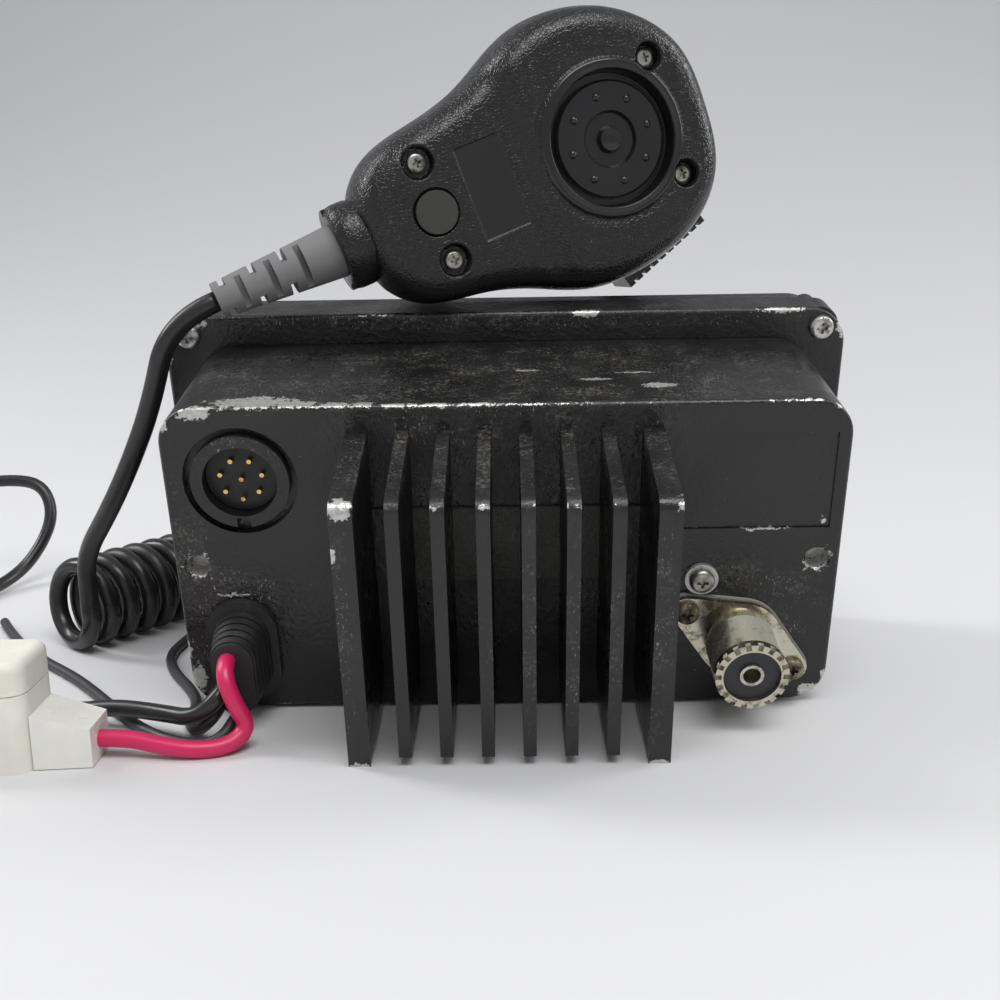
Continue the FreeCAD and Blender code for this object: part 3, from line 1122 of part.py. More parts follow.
for thing in doc.Objects:
    if "Invalid" in thing.State or "Error" in thing.State:
        raise RuntimeError(f"{thing.Name} failed: {thing.State}")
for thing in parts:
    if thing.Shape.isNull() or not thing.Shape.isValid():
        raise RuntimeError(f"{thing.Label} is not a valid shape")

os.makedirs("parts", exist_ok=True)
for thing in parts:
    thing.Shape.exportStep(f"parts/{thing.Label}.step")
print("wrote", len(parts), "parts")
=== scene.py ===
import math

import bpy
import numpy as np
from mathutils import Matrix, Vector


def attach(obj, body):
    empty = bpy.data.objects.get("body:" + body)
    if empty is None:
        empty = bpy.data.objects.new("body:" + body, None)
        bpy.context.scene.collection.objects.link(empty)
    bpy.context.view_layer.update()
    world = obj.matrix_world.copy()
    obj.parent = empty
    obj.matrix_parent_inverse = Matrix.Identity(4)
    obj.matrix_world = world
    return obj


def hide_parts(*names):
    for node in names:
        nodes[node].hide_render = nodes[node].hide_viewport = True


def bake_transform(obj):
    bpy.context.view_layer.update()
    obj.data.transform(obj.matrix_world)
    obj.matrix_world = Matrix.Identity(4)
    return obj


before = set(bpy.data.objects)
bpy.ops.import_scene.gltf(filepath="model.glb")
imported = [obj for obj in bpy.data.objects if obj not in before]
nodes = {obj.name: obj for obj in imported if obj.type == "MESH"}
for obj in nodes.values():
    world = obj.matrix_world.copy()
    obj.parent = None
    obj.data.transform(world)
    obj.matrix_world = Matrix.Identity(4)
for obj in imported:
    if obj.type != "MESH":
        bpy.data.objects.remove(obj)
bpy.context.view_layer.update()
MM = 0.001

# The radio leans back about X and its own origin, at the rear face's middle, lies behind the frame's.
TILT = math.radians(12.471)
LIFT = 6.802
SHIFT = -17.308
STANCE = Matrix.Translation((0, SHIFT * MM, LIFT * MM)) @ Matrix.Rotation(TILT, 4, "X")

# The microphone's own frame: X to its nose, Y up, Z out of its back, origin under the round disc.
MIC = Matrix(((0.889738, -0.345043, 0.298849, 22.2 * MM),
              (0.284933, -0.091676, -0.954153, 25.80601 * MM),
              (0.356622, 0.934099, 0.016747, 128.606912 * MM),
              (0, 0, 0, 1)))


# Where a point of the radio, of the microphone or over the table is in the frame. All take mm and give metres.
def on_radio(x, y, z):
    return STANCE @ Vector((x * MM, y * MM, z * MM))


def on_mic(x, y, z):
    return MIC @ Vector((x * MM, y * MM, z * MM))


def on_table(x, y, z):
    return Vector((x * MM, (y + SHIFT) * MM, z * MM))


# Where a mix node keeps its two colours, and the colour that it gives.
FIRST_COLOUR = 6
SECOND_COLOUR = 7
MIXED_COLOUR = 2


# A material and its nodes. Its patterns lie in the frame's own directions, in metres.
class Shader:
    def __init__(self, name, colour, rough, metal=0.0, **sockets):
        self.material = bpy.data.materials.new(name)
        self.material.use_nodes = True
        self.tree = self.material.node_tree
        self.bsdf = self.tree.nodes["Principled BSDF"]
        self.set("Base Color", (*colour, 1))
        self.set("Roughness", rough)
        self.set("Metallic", metal)
        for socket, value in sockets.items():
            self.set(socket.replace("_", " "), value)
        self.coords = self.node("ShaderNodeTexCoord").outputs["Object"]

    def set(self, socket, value):
        self.bsdf.inputs[socket].default_value = value

    def node(self, kind, **settings):
        made = self.tree.nodes.new(kind)
        for name, value in settings.items():
            setattr(made, name, value)
        return made

    def link(self, source, target):
        self.tree.links.new(source, target)

    def noise(self, scale, detail=3.0, rough=0.55, stretch=None):
        source = self.coords
        if stretch:
            mapping = self.node("ShaderNodeMapping")
            mapping.inputs["Scale"].default_value = stretch
            self.link(source, mapping.inputs["Vector"])
            source = mapping.outputs["Vector"]
        made = self.node("ShaderNodeTexNoise")
        made.inputs["Scale"].default_value = scale
        made.inputs["Detail"].default_value = detail
        made.inputs["Roughness"].default_value = rough
        self.link(source, made.inputs["Vector"])
        return made.outputs["Fac"]

    def cell_edges(self, scale):
        made = self.node("ShaderNodeTexVoronoi", feature="DISTANCE_TO_EDGE")
        made.inputs["Scale"].default_value = scale
        self.link(self.coords, made.inputs["Vector"])
        return made.outputs["Distance"]

    def math(self, operation, first, second=None, third=None, clamp=False):
        made = self.node("ShaderNodeMath", operation=operation, use_clamp=clamp)
        for place, value in enumerate((first, second, third)):
            if value is None:
                continue
            if isinstance(value, (int, float)):
                made.inputs[place].default_value = value
            else:
                self.link(value, made.inputs[place])
        return made.outputs[0]

    def ramp(self, source, low, high, out_low=0.0, out_high=1.0):
        made = self.node("ShaderNodeMapRange", interpolation_type="SMOOTHSTEP")
        for name, value in (("From Min", low), ("From Max", high), ("To Min", out_low), ("To Max", out_high)):
            made.inputs[name].default_value = value
        self.link(source, made.inputs["Value"])
        return made.outputs["Result"]

    def mix(self, share, first, second):
        made = self.node("ShaderNodeMix", data_type="RGBA")
        self.link(share, made.inputs["Factor"])
        for place, value in ((FIRST_COLOUR, first), (SECOND_COLOUR, second)):
            if isinstance(value, tuple):
                made.inputs[place].default_value = (*value, 1)
            else:
                self.link(value, made.inputs[place])
        return made.outputs[MIXED_COLOUR]

    # Each layer is a height, its strength and its depth in mm.
    def bump(self, *layers):
        last = None
        for height, strength, distance in layers:
            made = self.node("ShaderNodeBump")
            made.inputs["Strength"].default_value = strength
            made.inputs["Distance"].default_value = distance * MM
            self.link(height, made.inputs["Height"])
            if last is not None:
                self.link(last, made.inputs["Normal"])
            last = made.outputs["Normal"]
        self.link(last, self.bsdf.inputs["Normal"])

    # How far a point is from the middle of an ellipsoid, or of a box, as a share of its half sizes.
    def patch(self, middle, radii, coords, square=False):
        mapping = self.node("ShaderNodeMapping", vector_type="TEXTURE")
        mapping.inputs["Location"].default_value = on_radio(*middle)
        mapping.inputs["Rotation"].default_value = (TILT, 0, 0)
        mapping.inputs["Scale"].default_value = [radius * MM for radius in radii]
        self.link(coords, mapping.inputs["Vector"])
        if square:
            sides = self.node("ShaderNodeVectorMath", operation="ABSOLUTE")
            self.link(mapping.outputs["Vector"], sides.inputs[0])
            split = self.node("ShaderNodeSeparateXYZ")
            self.link(sides.outputs["Vector"], split.inputs[0])
            widest = self.math("MAXIMUM", split.outputs["X"], split.outputs["Y"])
            return self.math("MAXIMUM", widest, split.outputs["Z"])
        length = self.node("ShaderNodeVectorMath", operation="LENGTH")
        self.link(mapping.outputs["Vector"], length.inputs[0])
        return length.outputs["Value"]

    # The least such share among many patches.
    def nearest(self, patches, coords, square=False):
        found = None
        for middle, radii in patches:
            one = self.patch(middle, radii, coords, square)
            found = one if found is None else self.math("MINIMUM", found, one)
        return found


# The paint, what lies on it and what is under it.
BLACK = (0.0068, 0.0070, 0.0076)
DUST = (0.17, 0.155, 0.13)
DULL_METAL = (0.24, 0.235, 0.22)
BRIGHT_METAL = (0.80, 0.79, 0.76)

# How far a chip's rim wanders in all, in mm.
RAGGED = 3.2
# Bare metal where the paint is knocked off, and painted highlights laid in the same bare metal colour: the
# middle and the radii of each place, on the radio. In turn: the top rear edge and top face, with a painted
# highlight as a thin line along the whole top rear edge, the lower corners, the edge's right end, the two
# outer fins, the places over and beside the boot, the label plate, the side holes, and a painted highlight of
# glints across the inner fins' tips.
CASTING_CHIPS_AND_GLINTS = [
    ((-53, 3.0, 68.2), (10, 3.4, 1)), ((-44, 1.8, 68.2), (6, 1.8, 1)), ((-64.8, 0.2, 66.8), (4.2, 1.2, 1.7)),
    ((-35.5, 0.9, 68.2), (3.6, 1.4, 0.8)), ((-29, 0.8, 68.2), (2.4, 1.2, 0.8)),
    ((-22, 0.5, 68.1), (4, 0.8, 0.7)), ((-14, 0.4, 68.1), (3, 0.9, 0.7)), ((-5, 0.3, 68.1), (6, 0.7, 0.6)),
    # The next place is no chip: a thin line along the whole top rear edge, a painted highlight in bare metal
    # colour.
    ((-20, 0.2, 67.9), (50, 0.34, 0.34)), ((-72.0, 0.3, 64.4), (1.2, 1.4, 1.6)),
    ((20, 14.6, 68), (3.4, 0.8, 1)), ((33, 10.2, 68), (4.0, 1.5, 1)), ((29, 18.6, 68), (4, 0.5, 1)),
    ((5, 21, 68), (3, 0.4, 1)),
    ((-73.0, 0.3, 9), (0.8, 0.9, 2.6)), ((-71.4, 0.1, 1.8), (1.7, 1, 4.6)), ((-69.6, 0, -4.6), (2.0, 1, 1.0)),
    ((69.6, 0, -3.8), (3.2, 1, 1.7)), ((72.6, 0.2, 0.4), (0.8, 1, 1.5)),
    ((63, 0.2, 68.0), (9, 0.5, 0.5)), ((70.4, 0.4, 67.0), (2.2, 1.4, 1.0)),
    ((-31.3, -30.6, 59.0), (2.7, 2.2, 2.4)), ((-33.2, -31.4, 49.6), (0.7, 0.7, 2.0)),
    ((33.3, -29.4, 61.4), (0.9, 2.6, 1.2)), ((33.2, -31.2, 59.2), (0.9, 0.8, 1.6)),
    ((-31.1, -31.8, 0), (2.6, 1.2, 0.9)), ((31.1, -31.8, 0), (2.6, 1.2, 0.9)),
    ((-61, -0.2, 23.6), (5, 0.5, 0.4)), ((-52, 0, -6.2), (1.6, 0.8, 0.5)),
    ((56, 0, 38.3), (6, 0.5, 0.3)), ((68.6, 0, 40), (0.7, 0.5, 1.4)),
    ((-68.25, 3, 30.75), (3.7, 5, 3.7)), ((68.25, 3, 30.75), (3.7, 5, 3.7)),
    # A painted highlight: glints on the inner fins' tip corners, laid as a band of bare metal colour.
    ((0, -31.4, 59.6), (24, 0.7, 0.8)),
]
PANEL_CHIPS = [
    ((19.6, 42.9, 74.7), (3.4, 1.2, 1.0)), ((66, 43.0, 74.7), (5, 0.9, 0.7)),
    ((-74, 43, 73.2), (3.6, 1.0, 1.2)), ((-80.8, 43, 66), (0.8, 1, 3)), ((80.4, 43, 70), (1.2, 1, 2.2)),
    ((-30, 43, 75), (6, 0.5, 0.4)),
]

# Where fingers, straps and tools rubbed the paint: speckled and dusty.
SCUFFS = [
    ((0, -14, 63), (40, 22, 6)), ((-33, -16, 30), (4, 20, 34)), ((30, -16, 30), (4, 20, 34)),
    ((10, -16, 30), (18, 20, 34)), ((0, 16, 68), (74, 24, 1.5)), ((-70, 0, 20), (6, 3, 30)),
    ((50, 0, 18), (20, 3, 12)), ((-60, 0, 20), (12, 3, 10)),
]
PANEL_SCUFFS = [((0, 43, 74), (82, 6, 3))]
COLLAR_SCUFFS = [((-56.7, -1, 57), (9, 4, 5))]
# For a piece without chips.
FAR_AWAY = [((0, 0, 900), (1, 1, 1))]
# The rough pad between the fins' roots.
PADS = [((0, -0.8, 35.8), (20.3, 0.9, 8.7))]


# One where the paint is off, and where painted highlights are laid in bare metal colour: patches with ragged
# rims.
def chip_and_glint_mask(shader, chips):
    warp = shader.node("ShaderNodeTexNoise")
    warp.inputs["Scale"].default_value = 700
    warp.inputs["Detail"].default_value = 6
    warp.inputs["Roughness"].default_value = 0.7
    shader.link(shader.coords, warp.inputs["Vector"])
    shaken = shader.node("ShaderNodeVectorMath", operation="MULTIPLY_ADD")
    shader.link(warp.outputs["Color"], shaken.inputs[0])
    shaken.inputs[1].default_value = (RAGGED * MM,) * 3
    back = shader.node("ShaderNodeVectorMath", operation="ADD")
    back.inputs[1].default_value = (-RAGGED * MM / 2,) * 3
    shader.link(shader.coords, back.inputs[0])
    shader.link(back.outputs["Vector"], shaken.inputs[2])
    near = shader.nearest(chips or FAR_AWAY, shaken.outputs["Vector"])
    ragged = shader.noise(520, 7, 0.78)
    return shader.ramp(shader.math("MULTIPLY_ADD", ragged, 2.4, near), 2.16, 2.08)


# Small bare specks: thick where the piece was touched, and a few strays.
def speck_mask(shader, touched):
    clumps = shader.ramp(shader.noise(150, 4, 0.6), 0.38, 0.58)
    specks = shader.ramp(shader.noise(2600, 3, 0.6, stretch=(1, 1, 0.35)), 0.625, 0.67)
    specks = shader.math("MULTIPLY", shader.math("MULTIPLY", specks, clumps), touched)
    stray = shader.ramp(shader.noise(1500, 2, 0.5), 0.775, 0.80, 0, 0.8)
    return shader.math("MAXIMUM", shader.math("MULTIPLY", specks, 0.55), stray)


# Dust: smears where the piece was touched, a faint haze all over, and flecks on the pads.
def dust_mask(shader, touched, pads):
    smears = shader.ramp(shader.noise(130, 6, 0.75), 0.44, 0.7)
    fine = shader.ramp(shader.noise(1100, 3, 0.7), 0.42, 0.72)
    dusty = shader.math("MULTIPLY", shader.math("MULTIPLY", smears, fine), touched)
    haze = shader.ramp(shader.noise(30, 4, 0.6), 0.35, 0.8, 0.0, 0.05)
    dusty = shader.math("ADD", shader.math("MULTIPLY", dusty, 0.8), haze, clamp=True)
    if pads:
        flecks = shader.ramp(shader.noise(2000, 3, 0.7), 0.40, 0.66, 0.12, 0.62)
        on_pad = shader.ramp(shader.nearest(pads, shader.coords, True), 1.02, 0.98)
        dusty = shader.math("MAXIMUM", dusty, shader.math("MULTIPLY", flecks, on_pad))
    return dusty


# Grained black paint, chipped to the metal and dusty; its list of chips can also hold painted highlights, laid
# in bare metal colour.
def worn_paint(name, chips, scuffs, pads, grain, rough):
    shader = Shader(name, BLACK, rough)
    chips_and_glints = chip_and_glint_mask(shader, chips)
    touched = shader.ramp(shader.nearest(scuffs, shader.coords), 1.3, 0.7)
    # Bare metal colour where chips and specks lie, and painted highlights in the same colour.
    bare_metal_and_glints = shader.math("MAXIMUM", chips_and_glints, speck_mask(shader, touched))
    dusty = dust_mask(shader, touched, pads)
    painted = shader.mix(dusty, BLACK, DUST)
    metal_tone = shader.mix(shader.noise(1100, 5, 0.7), DULL_METAL, BRIGHT_METAL)
    shader.link(shader.mix(bare_metal_and_glints, painted, metal_tone), shader.bsdf.inputs["Base Color"])
    shader.link(shader.math("MULTIPLY", bare_metal_and_glints, 0.6), shader.bsdf.inputs["Metallic"])
    gloss = shader.ramp(shader.noise(60, 4), 0.3, 0.7, rough - 0.1, rough + 0.1)
    shader.link(shader.math("MULTIPLY_ADD", dusty, 0.35, gloss), shader.bsdf.inputs["Roughness"])
    shader.bump((shader.noise(grain, 3, 0.6), 1.0, 0.2), (shader.noise(2600, 2), 0.5, 0.05))
    return shader.material


# Moulded plastic or glass, a little uneven in tone and gloss.
def moulded(name, colour, rough, grain=None, depth=0.05, **sockets):
    shader = Shader(name, colour, rough, **sockets)
    tone = shader.noise(90, 4, 0.6)
    darker = tuple(value * 0.82 for value in colour)
    lighter = tuple(min(1, value * 1.14 + 0.002) for value in colour)
    shader.link(shader.mix(tone, darker, lighter), shader.bsdf.inputs["Base Color"])
    shader.link(shader.ramp(shader.noise(60, 4), 0.3, 0.7, rough - 0.05, rough + 0.07),
                shader.bsdf.inputs["Roughness"])
    if grain:
        shader.bump((shader.noise(grain, 2, 0.5), 0.6, depth))
    return shader.material


# Moulded leather grain: flat-topped pebbles with creases between them.
def leather_grain(name, colour, rough):
    shader = Shader(name, colour, rough)
    creases = shader.ramp(shader.cell_edges(1250), 0.0, 0.22)
    pebbles = shader.math("MULTIPLY", creases, shader.ramp(shader.noise(800, 3, 0.6), 0.25, 0.75, 0.45, 1.0))
    lint = shader.ramp(shader.noise(1500, 2, 0.5), 0.70, 0.78, 0, 0.22)
    shader.link(shader.mix(lint, colour, (0.2, 0.2, 0.2)), shader.bsdf.inputs["Base Color"])
    shader.link(shader.ramp(shader.noise(120, 3), 0.3, 0.7, rough - 0.05, rough + 0.08),
                shader.bsdf.inputs["Roughness"])
    shader.bump((pebbles, 0.7, 0.10), (shader.noise(260, 2), 0.2, 0.08))
    return shader.material


# Bare metal with darker stains over a share of it.
def worn_metal(name, colour, dark, rough, amount):
    shader = Shader(name, colour, rough, 1.0)
    stain = shader.ramp(shader.noise(330, 5, 0.7), 0.62 - amount * 0.3, 0.8 - amount * 0.2)
    shader.link(shader.mix(stain, colour, dark), shader.bsdf.inputs["Base Color"])
    shader.link(shader.math("MULTIPLY_ADD", stain, 0.35, rough), shader.bsdf.inputs["Roughness"])
    shader.bump((shader.noise(1300, 3), 0.3, 0.03))
    return shader.material


# Rubber or a cord's skin, with pale streaks.
def jacket(name, colour, rough, streaks):
    shader = Shader(name, colour, rough)
    dust = shader.ramp(shader.noise(180, 5, 0.7), 0.5, 0.85, 0, streaks)
    paler = tuple(value + (0.3 - value) * 0.35 for value in colour)
    shader.link(shader.mix(dust, colour, paler), shader.bsdf.inputs["Base Color"])
    shader.link(shader.ramp(shader.noise(90, 3), 0.3, 0.7, rough - 0.06, rough + 0.1),
                shader.bsdf.inputs["Roughness"])
    shader.bump((shader.noise(500, 3), 0.25, 0.05))
    return shader.material


# Each paint by its short name. Colours are linear.
paints = {
    "casting": worn_paint("casting_paint", CASTING_CHIPS_AND_GLINTS, SCUFFS, PADS, 760, 0.31),
    "panel": worn_paint("panel_plastic", PANEL_CHIPS, PANEL_SCUFFS, [], 900, 0.36),
    "grain": leather_grain("mic_grain", (0.0064, 0.0065, 0.0070), 0.24),
    "gloss": moulded("smooth_black", (0.0085, 0.0085, 0.0095), 0.22),
    "label": moulded("label_recess", (0.0095, 0.0095, 0.0105), 0.3),
    "plug": moulded("soft_plug", (0.036, 0.035, 0.032), 0.7, 900, 0.03),
    "satin": moulded("satin_black", (0.014, 0.014, 0.015), 0.34, 900, 0.03),
    "boot": jacket("boot_rubber", (0.016, 0.016, 0.017), 0.55, 0.4),
    "relief": jacket("relief_rubber", (0.17, 0.17, 0.172), 0.6, 0.3),
    "cord": jacket("cord_jacket", (0.0125, 0.0125, 0.0135), 0.3, 0.12),
    "red": jacket("red_jacket", (0.60, 0.014, 0.10), 0.34, 0.10),
    "black": jacket("black_jacket", (0.013, 0.013, 0.014), 0.32, 0.15),
    "thin": jacket("thin_jacket", (0.03, 0.03, 0.032), 0.42, 0.2),
    "white": moulded("fuse_white", (0.80, 0.785, 0.70), 0.36, 400, 0.04, Subsurface_Weight=0.15,
                     Subsurface_Radius=(0.004, 0.003, 0.002)),
    "sleeve": moulded("sleeve_milky", (0.82, 0.81, 0.76), 0.3, 300, 0.05, Subsurface_Weight=0.3,
                      Subsurface_Radius=(0.005, 0.004, 0.003)),
    "steel": worn_metal("screw_steel", (0.55, 0.54, 0.52), (0.14, 0.12, 0.10), 0.32, 0.5),
    "mic_steel": worn_metal("mic_screw_steel", (0.42, 0.41, 0.38), (0.10, 0.09, 0.07), 0.35, 0.6),
    "nickel": worn_metal("socket_nickel", (0.60, 0.57, 0.47), (0.20, 0.17, 0.11), 0.2, 0.45),
    "tarnish": worn_metal("tarnished_screw", (0.34, 0.30, 0.22), (0.09, 0.07, 0.05), 0.4, 0.8),
    "washer": worn_metal("washer_zinc", (0.58, 0.58, 0.57), (0.30, 0.29, 0.28), 0.5, 0.3),
    "gold": worn_metal("gold_pins", (0.72, 0.50, 0.17), (0.30, 0.19, 0.06), 0.18, 0.5),
    "contact": worn_metal("contact_silver", (0.62, 0.60, 0.55), (0.20, 0.18, 0.14), 0.3, 0.6),
    "sealant": moulded("sealant", (0.26, 0.255, 0.22), 0.6, 500, 0.1),
    "insulator": moulded("insulator", (0.022, 0.023, 0.026), 0.4, 600, 0.04),
    "pit": moulded("socket_pit", (0.003, 0.003, 0.0032), 0.5),
    "worn_gloss": worn_paint("socket_plastic", [], COLLAR_SCUFFS, [], 1400, 0.25),
    "ground": worn_metal("ground_screw", (0.36, 0.35, 0.32), (0.12, 0.11, 0.10), 0.3, 0.6),
    "seal": moulded("rubber_seal", (0.02, 0.02, 0.02), 0.75, 900, 0.03),
    "board": moulded("circuit_board", (0.02, 0.10, 0.045), 0.4, 800, 0.02),
    "lens": moulded("lcd_window", (0.10, 0.11, 0.10), 0.08, Transmission_Weight=0.6),
    "display": moulded("lcd_glass", (0.22, 0.25, 0.19), 0.2),
    "alloy": worn_metal("control_alloy", (0.6, 0.6, 0.6), (0.3, 0.3, 0.3), 0.3, 0.2),
    "keys": moulded("key_rubber", (0.02, 0.02, 0.021), 0.6, 900, 0.02),
    "red_plastic": moulded("red_plastic", (0.45, 0.012, 0.012), 0.3),
    "amber": moulded("fuse_amber", (0.5, 0.2, 0.03), 0.2),
}
# Which of the solids wear each paint.
NODE_PAINT = {
    "casting": ["chassis_casting"],
    "panel": ["front_frame", "front_bezel"],
    "seal": ["panel_gasket"],
    "steel": ["panel_screws", "distress_cover_pin"],
    "lens": ["lcd_lens"],
    "display": ["lcd_module"],
    "board": ["display_board", "main_board", "mic_board"],
    "satin": ["power_module", "speaker", "channel_knob", "volume_knob", "squelch_knob", "talk_bar",
              "cord_gland"],
    "pit": ["accessory_socket_insert"],
    "worn_gloss": ["accessory_socket_collar"],
    "alloy": ["channel_control", "volume_control", "squelch_control", "mic_capsule"],
    "keys": ["face_key_1", "face_key_2", "face_key_3", "face_key_4", "mic_up_key", "mic_down_key"],
    "red_plastic": ["distress_key", "distress_cover"],
    "gold": ["accessory_socket_pins"],
    "contact": ["antenna_contact"],
    "sealant": ["antenna_gasket"],
    "nickel": ["antenna_socket_shell"],
    "insulator": ["antenna_insulator"],
    "tarnish": ["antenna_screws"],
    "washer": ["ground_washer"],
    "ground": ["ground_screw"],
    "boot": ["power_boot"],
    "white": ["fuse_holder_body", "fuse_holder_lid"],
    "sleeve": ["fuse_sleeve"],
    "amber": ["blade_fuse"],
    "grain": ["mic_rear_shell", "mic_front_shell"],
    "gloss": ["mic_round_disc"],
    "plug": ["mic_plug"],
    "mic_steel": ["mic_screws"],
    "relief": ["mic_strain_relief"],
}
for paint, names in NODE_PAINT.items():
    for name in names:
        mesh = nodes[name].data
        mesh.materials.clear()
        mesh.materials.append(paints[paint])


# Gives a piece of this script its paint.
def dress(thing, paint):
    thing.data.materials.append(paints[paint])
    return thing


# The microphone's back, in its own frame and in mm. Its outline at the seam, from the nose round.
MIC_OUTLINE = [(28.6, -1), (26.6, 14), (17, 25.6), (2, 31.8), (-13, 30.8), (-27, 24.2), (-42, 20.2),
               (-55, 16.6), (-62, 9.2), (-63.4, -1.5), (-61.2, -12.6), (-54, -19.2), (-40, -22.4),
               (-27, -26.6), (-14, -32), (1, -32.4), (16, -27.6), (26.2, -16.5)]
# How far in the wall has come at each height, up to the flat of the back.
WALL_PROFILE = [(0, 0), (0.12, 2), (0.36, 4.2), (0.8, 6.6), (1.5, 8.6), (2.5, 10.1), (3.7, 11.1),
                (5.1, 11.75), (6.5, 12.0)]
MIC_BACK = 12.0
# Points round each ring, rings to each part of the wall, and rings from its top to the middle.
AROUND = 560
WALL_STEPS = 3
INWARDS = 170
# The label recess: its ends along X, then its sides along Y.
LABEL = (-37.0, -25.4, -10.6, 11.3)
LABEL_DEEP = 0.35
# The screws' wells: middle X and Y, then radius.
WELLS = [(-45.6, 11.6, 3.5), (-45.6, -11.6, 3.5), (15.0, 14.1, 3.0), (15.0, -14.1, 3.0)]
WELL_DEEP = 2.4
WELL_LIP = 0.12
# The soft plug, in the same way.
PLUG = (-45.6, 0.0, 4.95)
PLUG_DEEP = 0.9
# Along X: the head rises from its foot, the valley lies beside it, and the nose drops away.
HEAD_FOOT = -21.6
HEAD_TOP = -17.2
HEAD_RISE = 1.25
VALLEY_X = -23.4
VALLEY_HALF = 2.4
VALLEY_DEEP = 0.55
NOSE_FROM = 8
NOSE_TO = 27
NOSE_DROP = 0.5
# Round the disc, by radius: its sunk seat, and a collar that stands in a shallow dip.
SEAT_RADIUS = 15.35
SEAT_DEEP = 2.6
COLLAR_INSIDE = 15.6
COLLAR_OUTSIDE = 18.0
COLLAR_RISE = 0.75
DIP_DEEP = 0.35
# What is glossy: inside this radius and above this height.
GLOSS_RADIUS = 17.9
GLOSS_ABOVE = 5.0
# The neck round the guard, half a rounded barrel: X and radius along it.
NECK = [(-68.4, 0), (-68.4, 7.9), (-68.1, 8.9), (-67.3, 9.6), (-66.0, 9.9), (-63.0, 9.9), (-61.6, 9.5),
        (-60.4, 9.5), (-52, 9.5)]
NECK_STEPS = 24
NECK_SPREAD = 1.02


# A smooth closed line through the spots, as x and y arrays.
def closed_spline(spots, count):
    spots = np.array(spots, float)
    steps = np.linalg.norm(np.roll(spots, -1, 0) - spots, axis=1)
    knots = np.concatenate([[0], np.cumsum(steps)])
    size = len(spots)
    matrix = np.zeros((size, size))
    right = np.zeros((size, 2))
    for place in range(size):
        before, after = steps[place - 1], steps[place]
        matrix[place, place - 1] += before
        matrix[place, place] += 2 * (before + after)
        matrix[place, (place + 1) % size] += after
        right[place] = 6 * ((spots[(place + 1) % size] - spots[place]) / after
                            - (spots[place] - spots[place - 1]) / before)
    bends = np.linalg.solve(matrix, right)
    ways = np.linspace(0, knots[-1], count, endpoint=False)
    found = np.zeros((count, 2))
    for row, way in enumerate(ways):
        place = min(int(np.searchsorted(knots, way, "right")) - 1, size - 1)
        wide = steps[place]
        share = (way - knots[place]) / wide
        rest = 1 - share
        ahead = (place + 1) % size
        bent = (rest ** 3 - rest) * bends[place] + (share ** 3 - share) * bends[ahead]
        found[row] = rest * spots[place] + share * spots[ahead] + wide ** 2 / 6 * bent
    return found


# The microphone's outline drawn in by some amount.
def mic_ring(inset):
    moved = []
    for place, spot in enumerate(MIC_OUTLINE):
        after = MIC_OUTLINE[(place + 1) % len(MIC_OUTLINE)]
        before = MIC_OUTLINE[place - 1]
        ahead = Vector((after[0] - before[0], after[1] - before[1])).normalized()
        moved.append((spot[0] - ahead.y * inset, spot[1] + ahead.x * inset))
    return closed_spline(moved, AROUND)


# Zero at the low value and one at the high one, with soft ends.
def smooth(value, low, high):
    share = np.clip((value - low) / (high - low), 0, 1)
    return share * share * (3 - 2 * share)


# How high the back stands over its flat level: raised head, valley, collar, seat, wells, plug and label.
def relief(x, y):
    valley = np.exp(-((x - VALLEY_X) / VALLEY_HALF) ** 2)
    height = HEAD_RISE * smooth(x, HEAD_FOOT, HEAD_TOP) - VALLEY_DEEP * valley
    height = height - NOSE_DROP * smooth(x, NOSE_FROM, NOSE_TO)
    far = np.hypot(x, y)
    outside = smooth(far, COLLAR_OUTSIDE + 0.6, COLLAR_OUTSIDE - 0.6)
    collar = outside * smooth(far, COLLAR_INSIDE - 0.3, COLLAR_INSIDE + 0.3)
    dip = smooth(far, 15.2, 17.2) * smooth(far, 20.5, 18.3)
    height = height + COLLAR_RISE * collar - DIP_DEEP * dip
    seat = smooth(far, SEAT_RADIUS + 0.2, SEAT_RADIUS - 0.2)
    height = height * (1 - seat) - SEAT_DEEP * seat
    for middle_x, middle_y, radius in WELLS:
        far = np.hypot(x - middle_x, y - middle_y)
        well = smooth(far, radius + 0.35, radius - 0.15)
        lip = WELL_LIP * np.exp(-((far - radius - 0.7) / 0.35) ** 2)
        height = height * (1 - well) - WELL_DEEP * well + lip
    far = np.hypot(x - PLUG[0], y - PLUG[1])
    height = height - PLUG_DEEP * smooth(far, PLUG[2] + 0.55, PLUG[2] + 0.15)
    inside = np.minimum(np.minimum(x - LABEL[0], LABEL[1] - x), np.minimum(y - LABEL[2], LABEL[3] - y))
    return height - LABEL_DEEP * smooth(inside, -0.1, 0.3)


# The back's points in the microphone's frame: rings up the wall and across the top, then its middle.
def back_points():
    profile = []
    for low, high in zip(WALL_PROFILE, WALL_PROFILE[1:]):
        for part in range(WALL_STEPS):
            share = part / WALL_STEPS
            profile.append((low[0] + (high[0] - low[0]) * share, low[1] + (high[1] - low[1]) * share))
    rings = [np.column_stack([mic_ring(inset), np.full(AROUND, z)]) for inset, z in profile]
    top = mic_ring(WALL_PROFILE[-1][0])
    for part in range(INWARDS):
        rings.append(np.column_stack([top * (1 - part / INWARDS), np.full(AROUND, MIC_BACK)]))
    spots = np.concatenate(rings + [np.array([[0, 0, MIC_BACK]])])
    near_top = (spots[:, 2] / MIC_BACK) ** 2
    spots[:, 2] += relief(spots[:, 0], spots[:, 1]) * near_top
    return spots


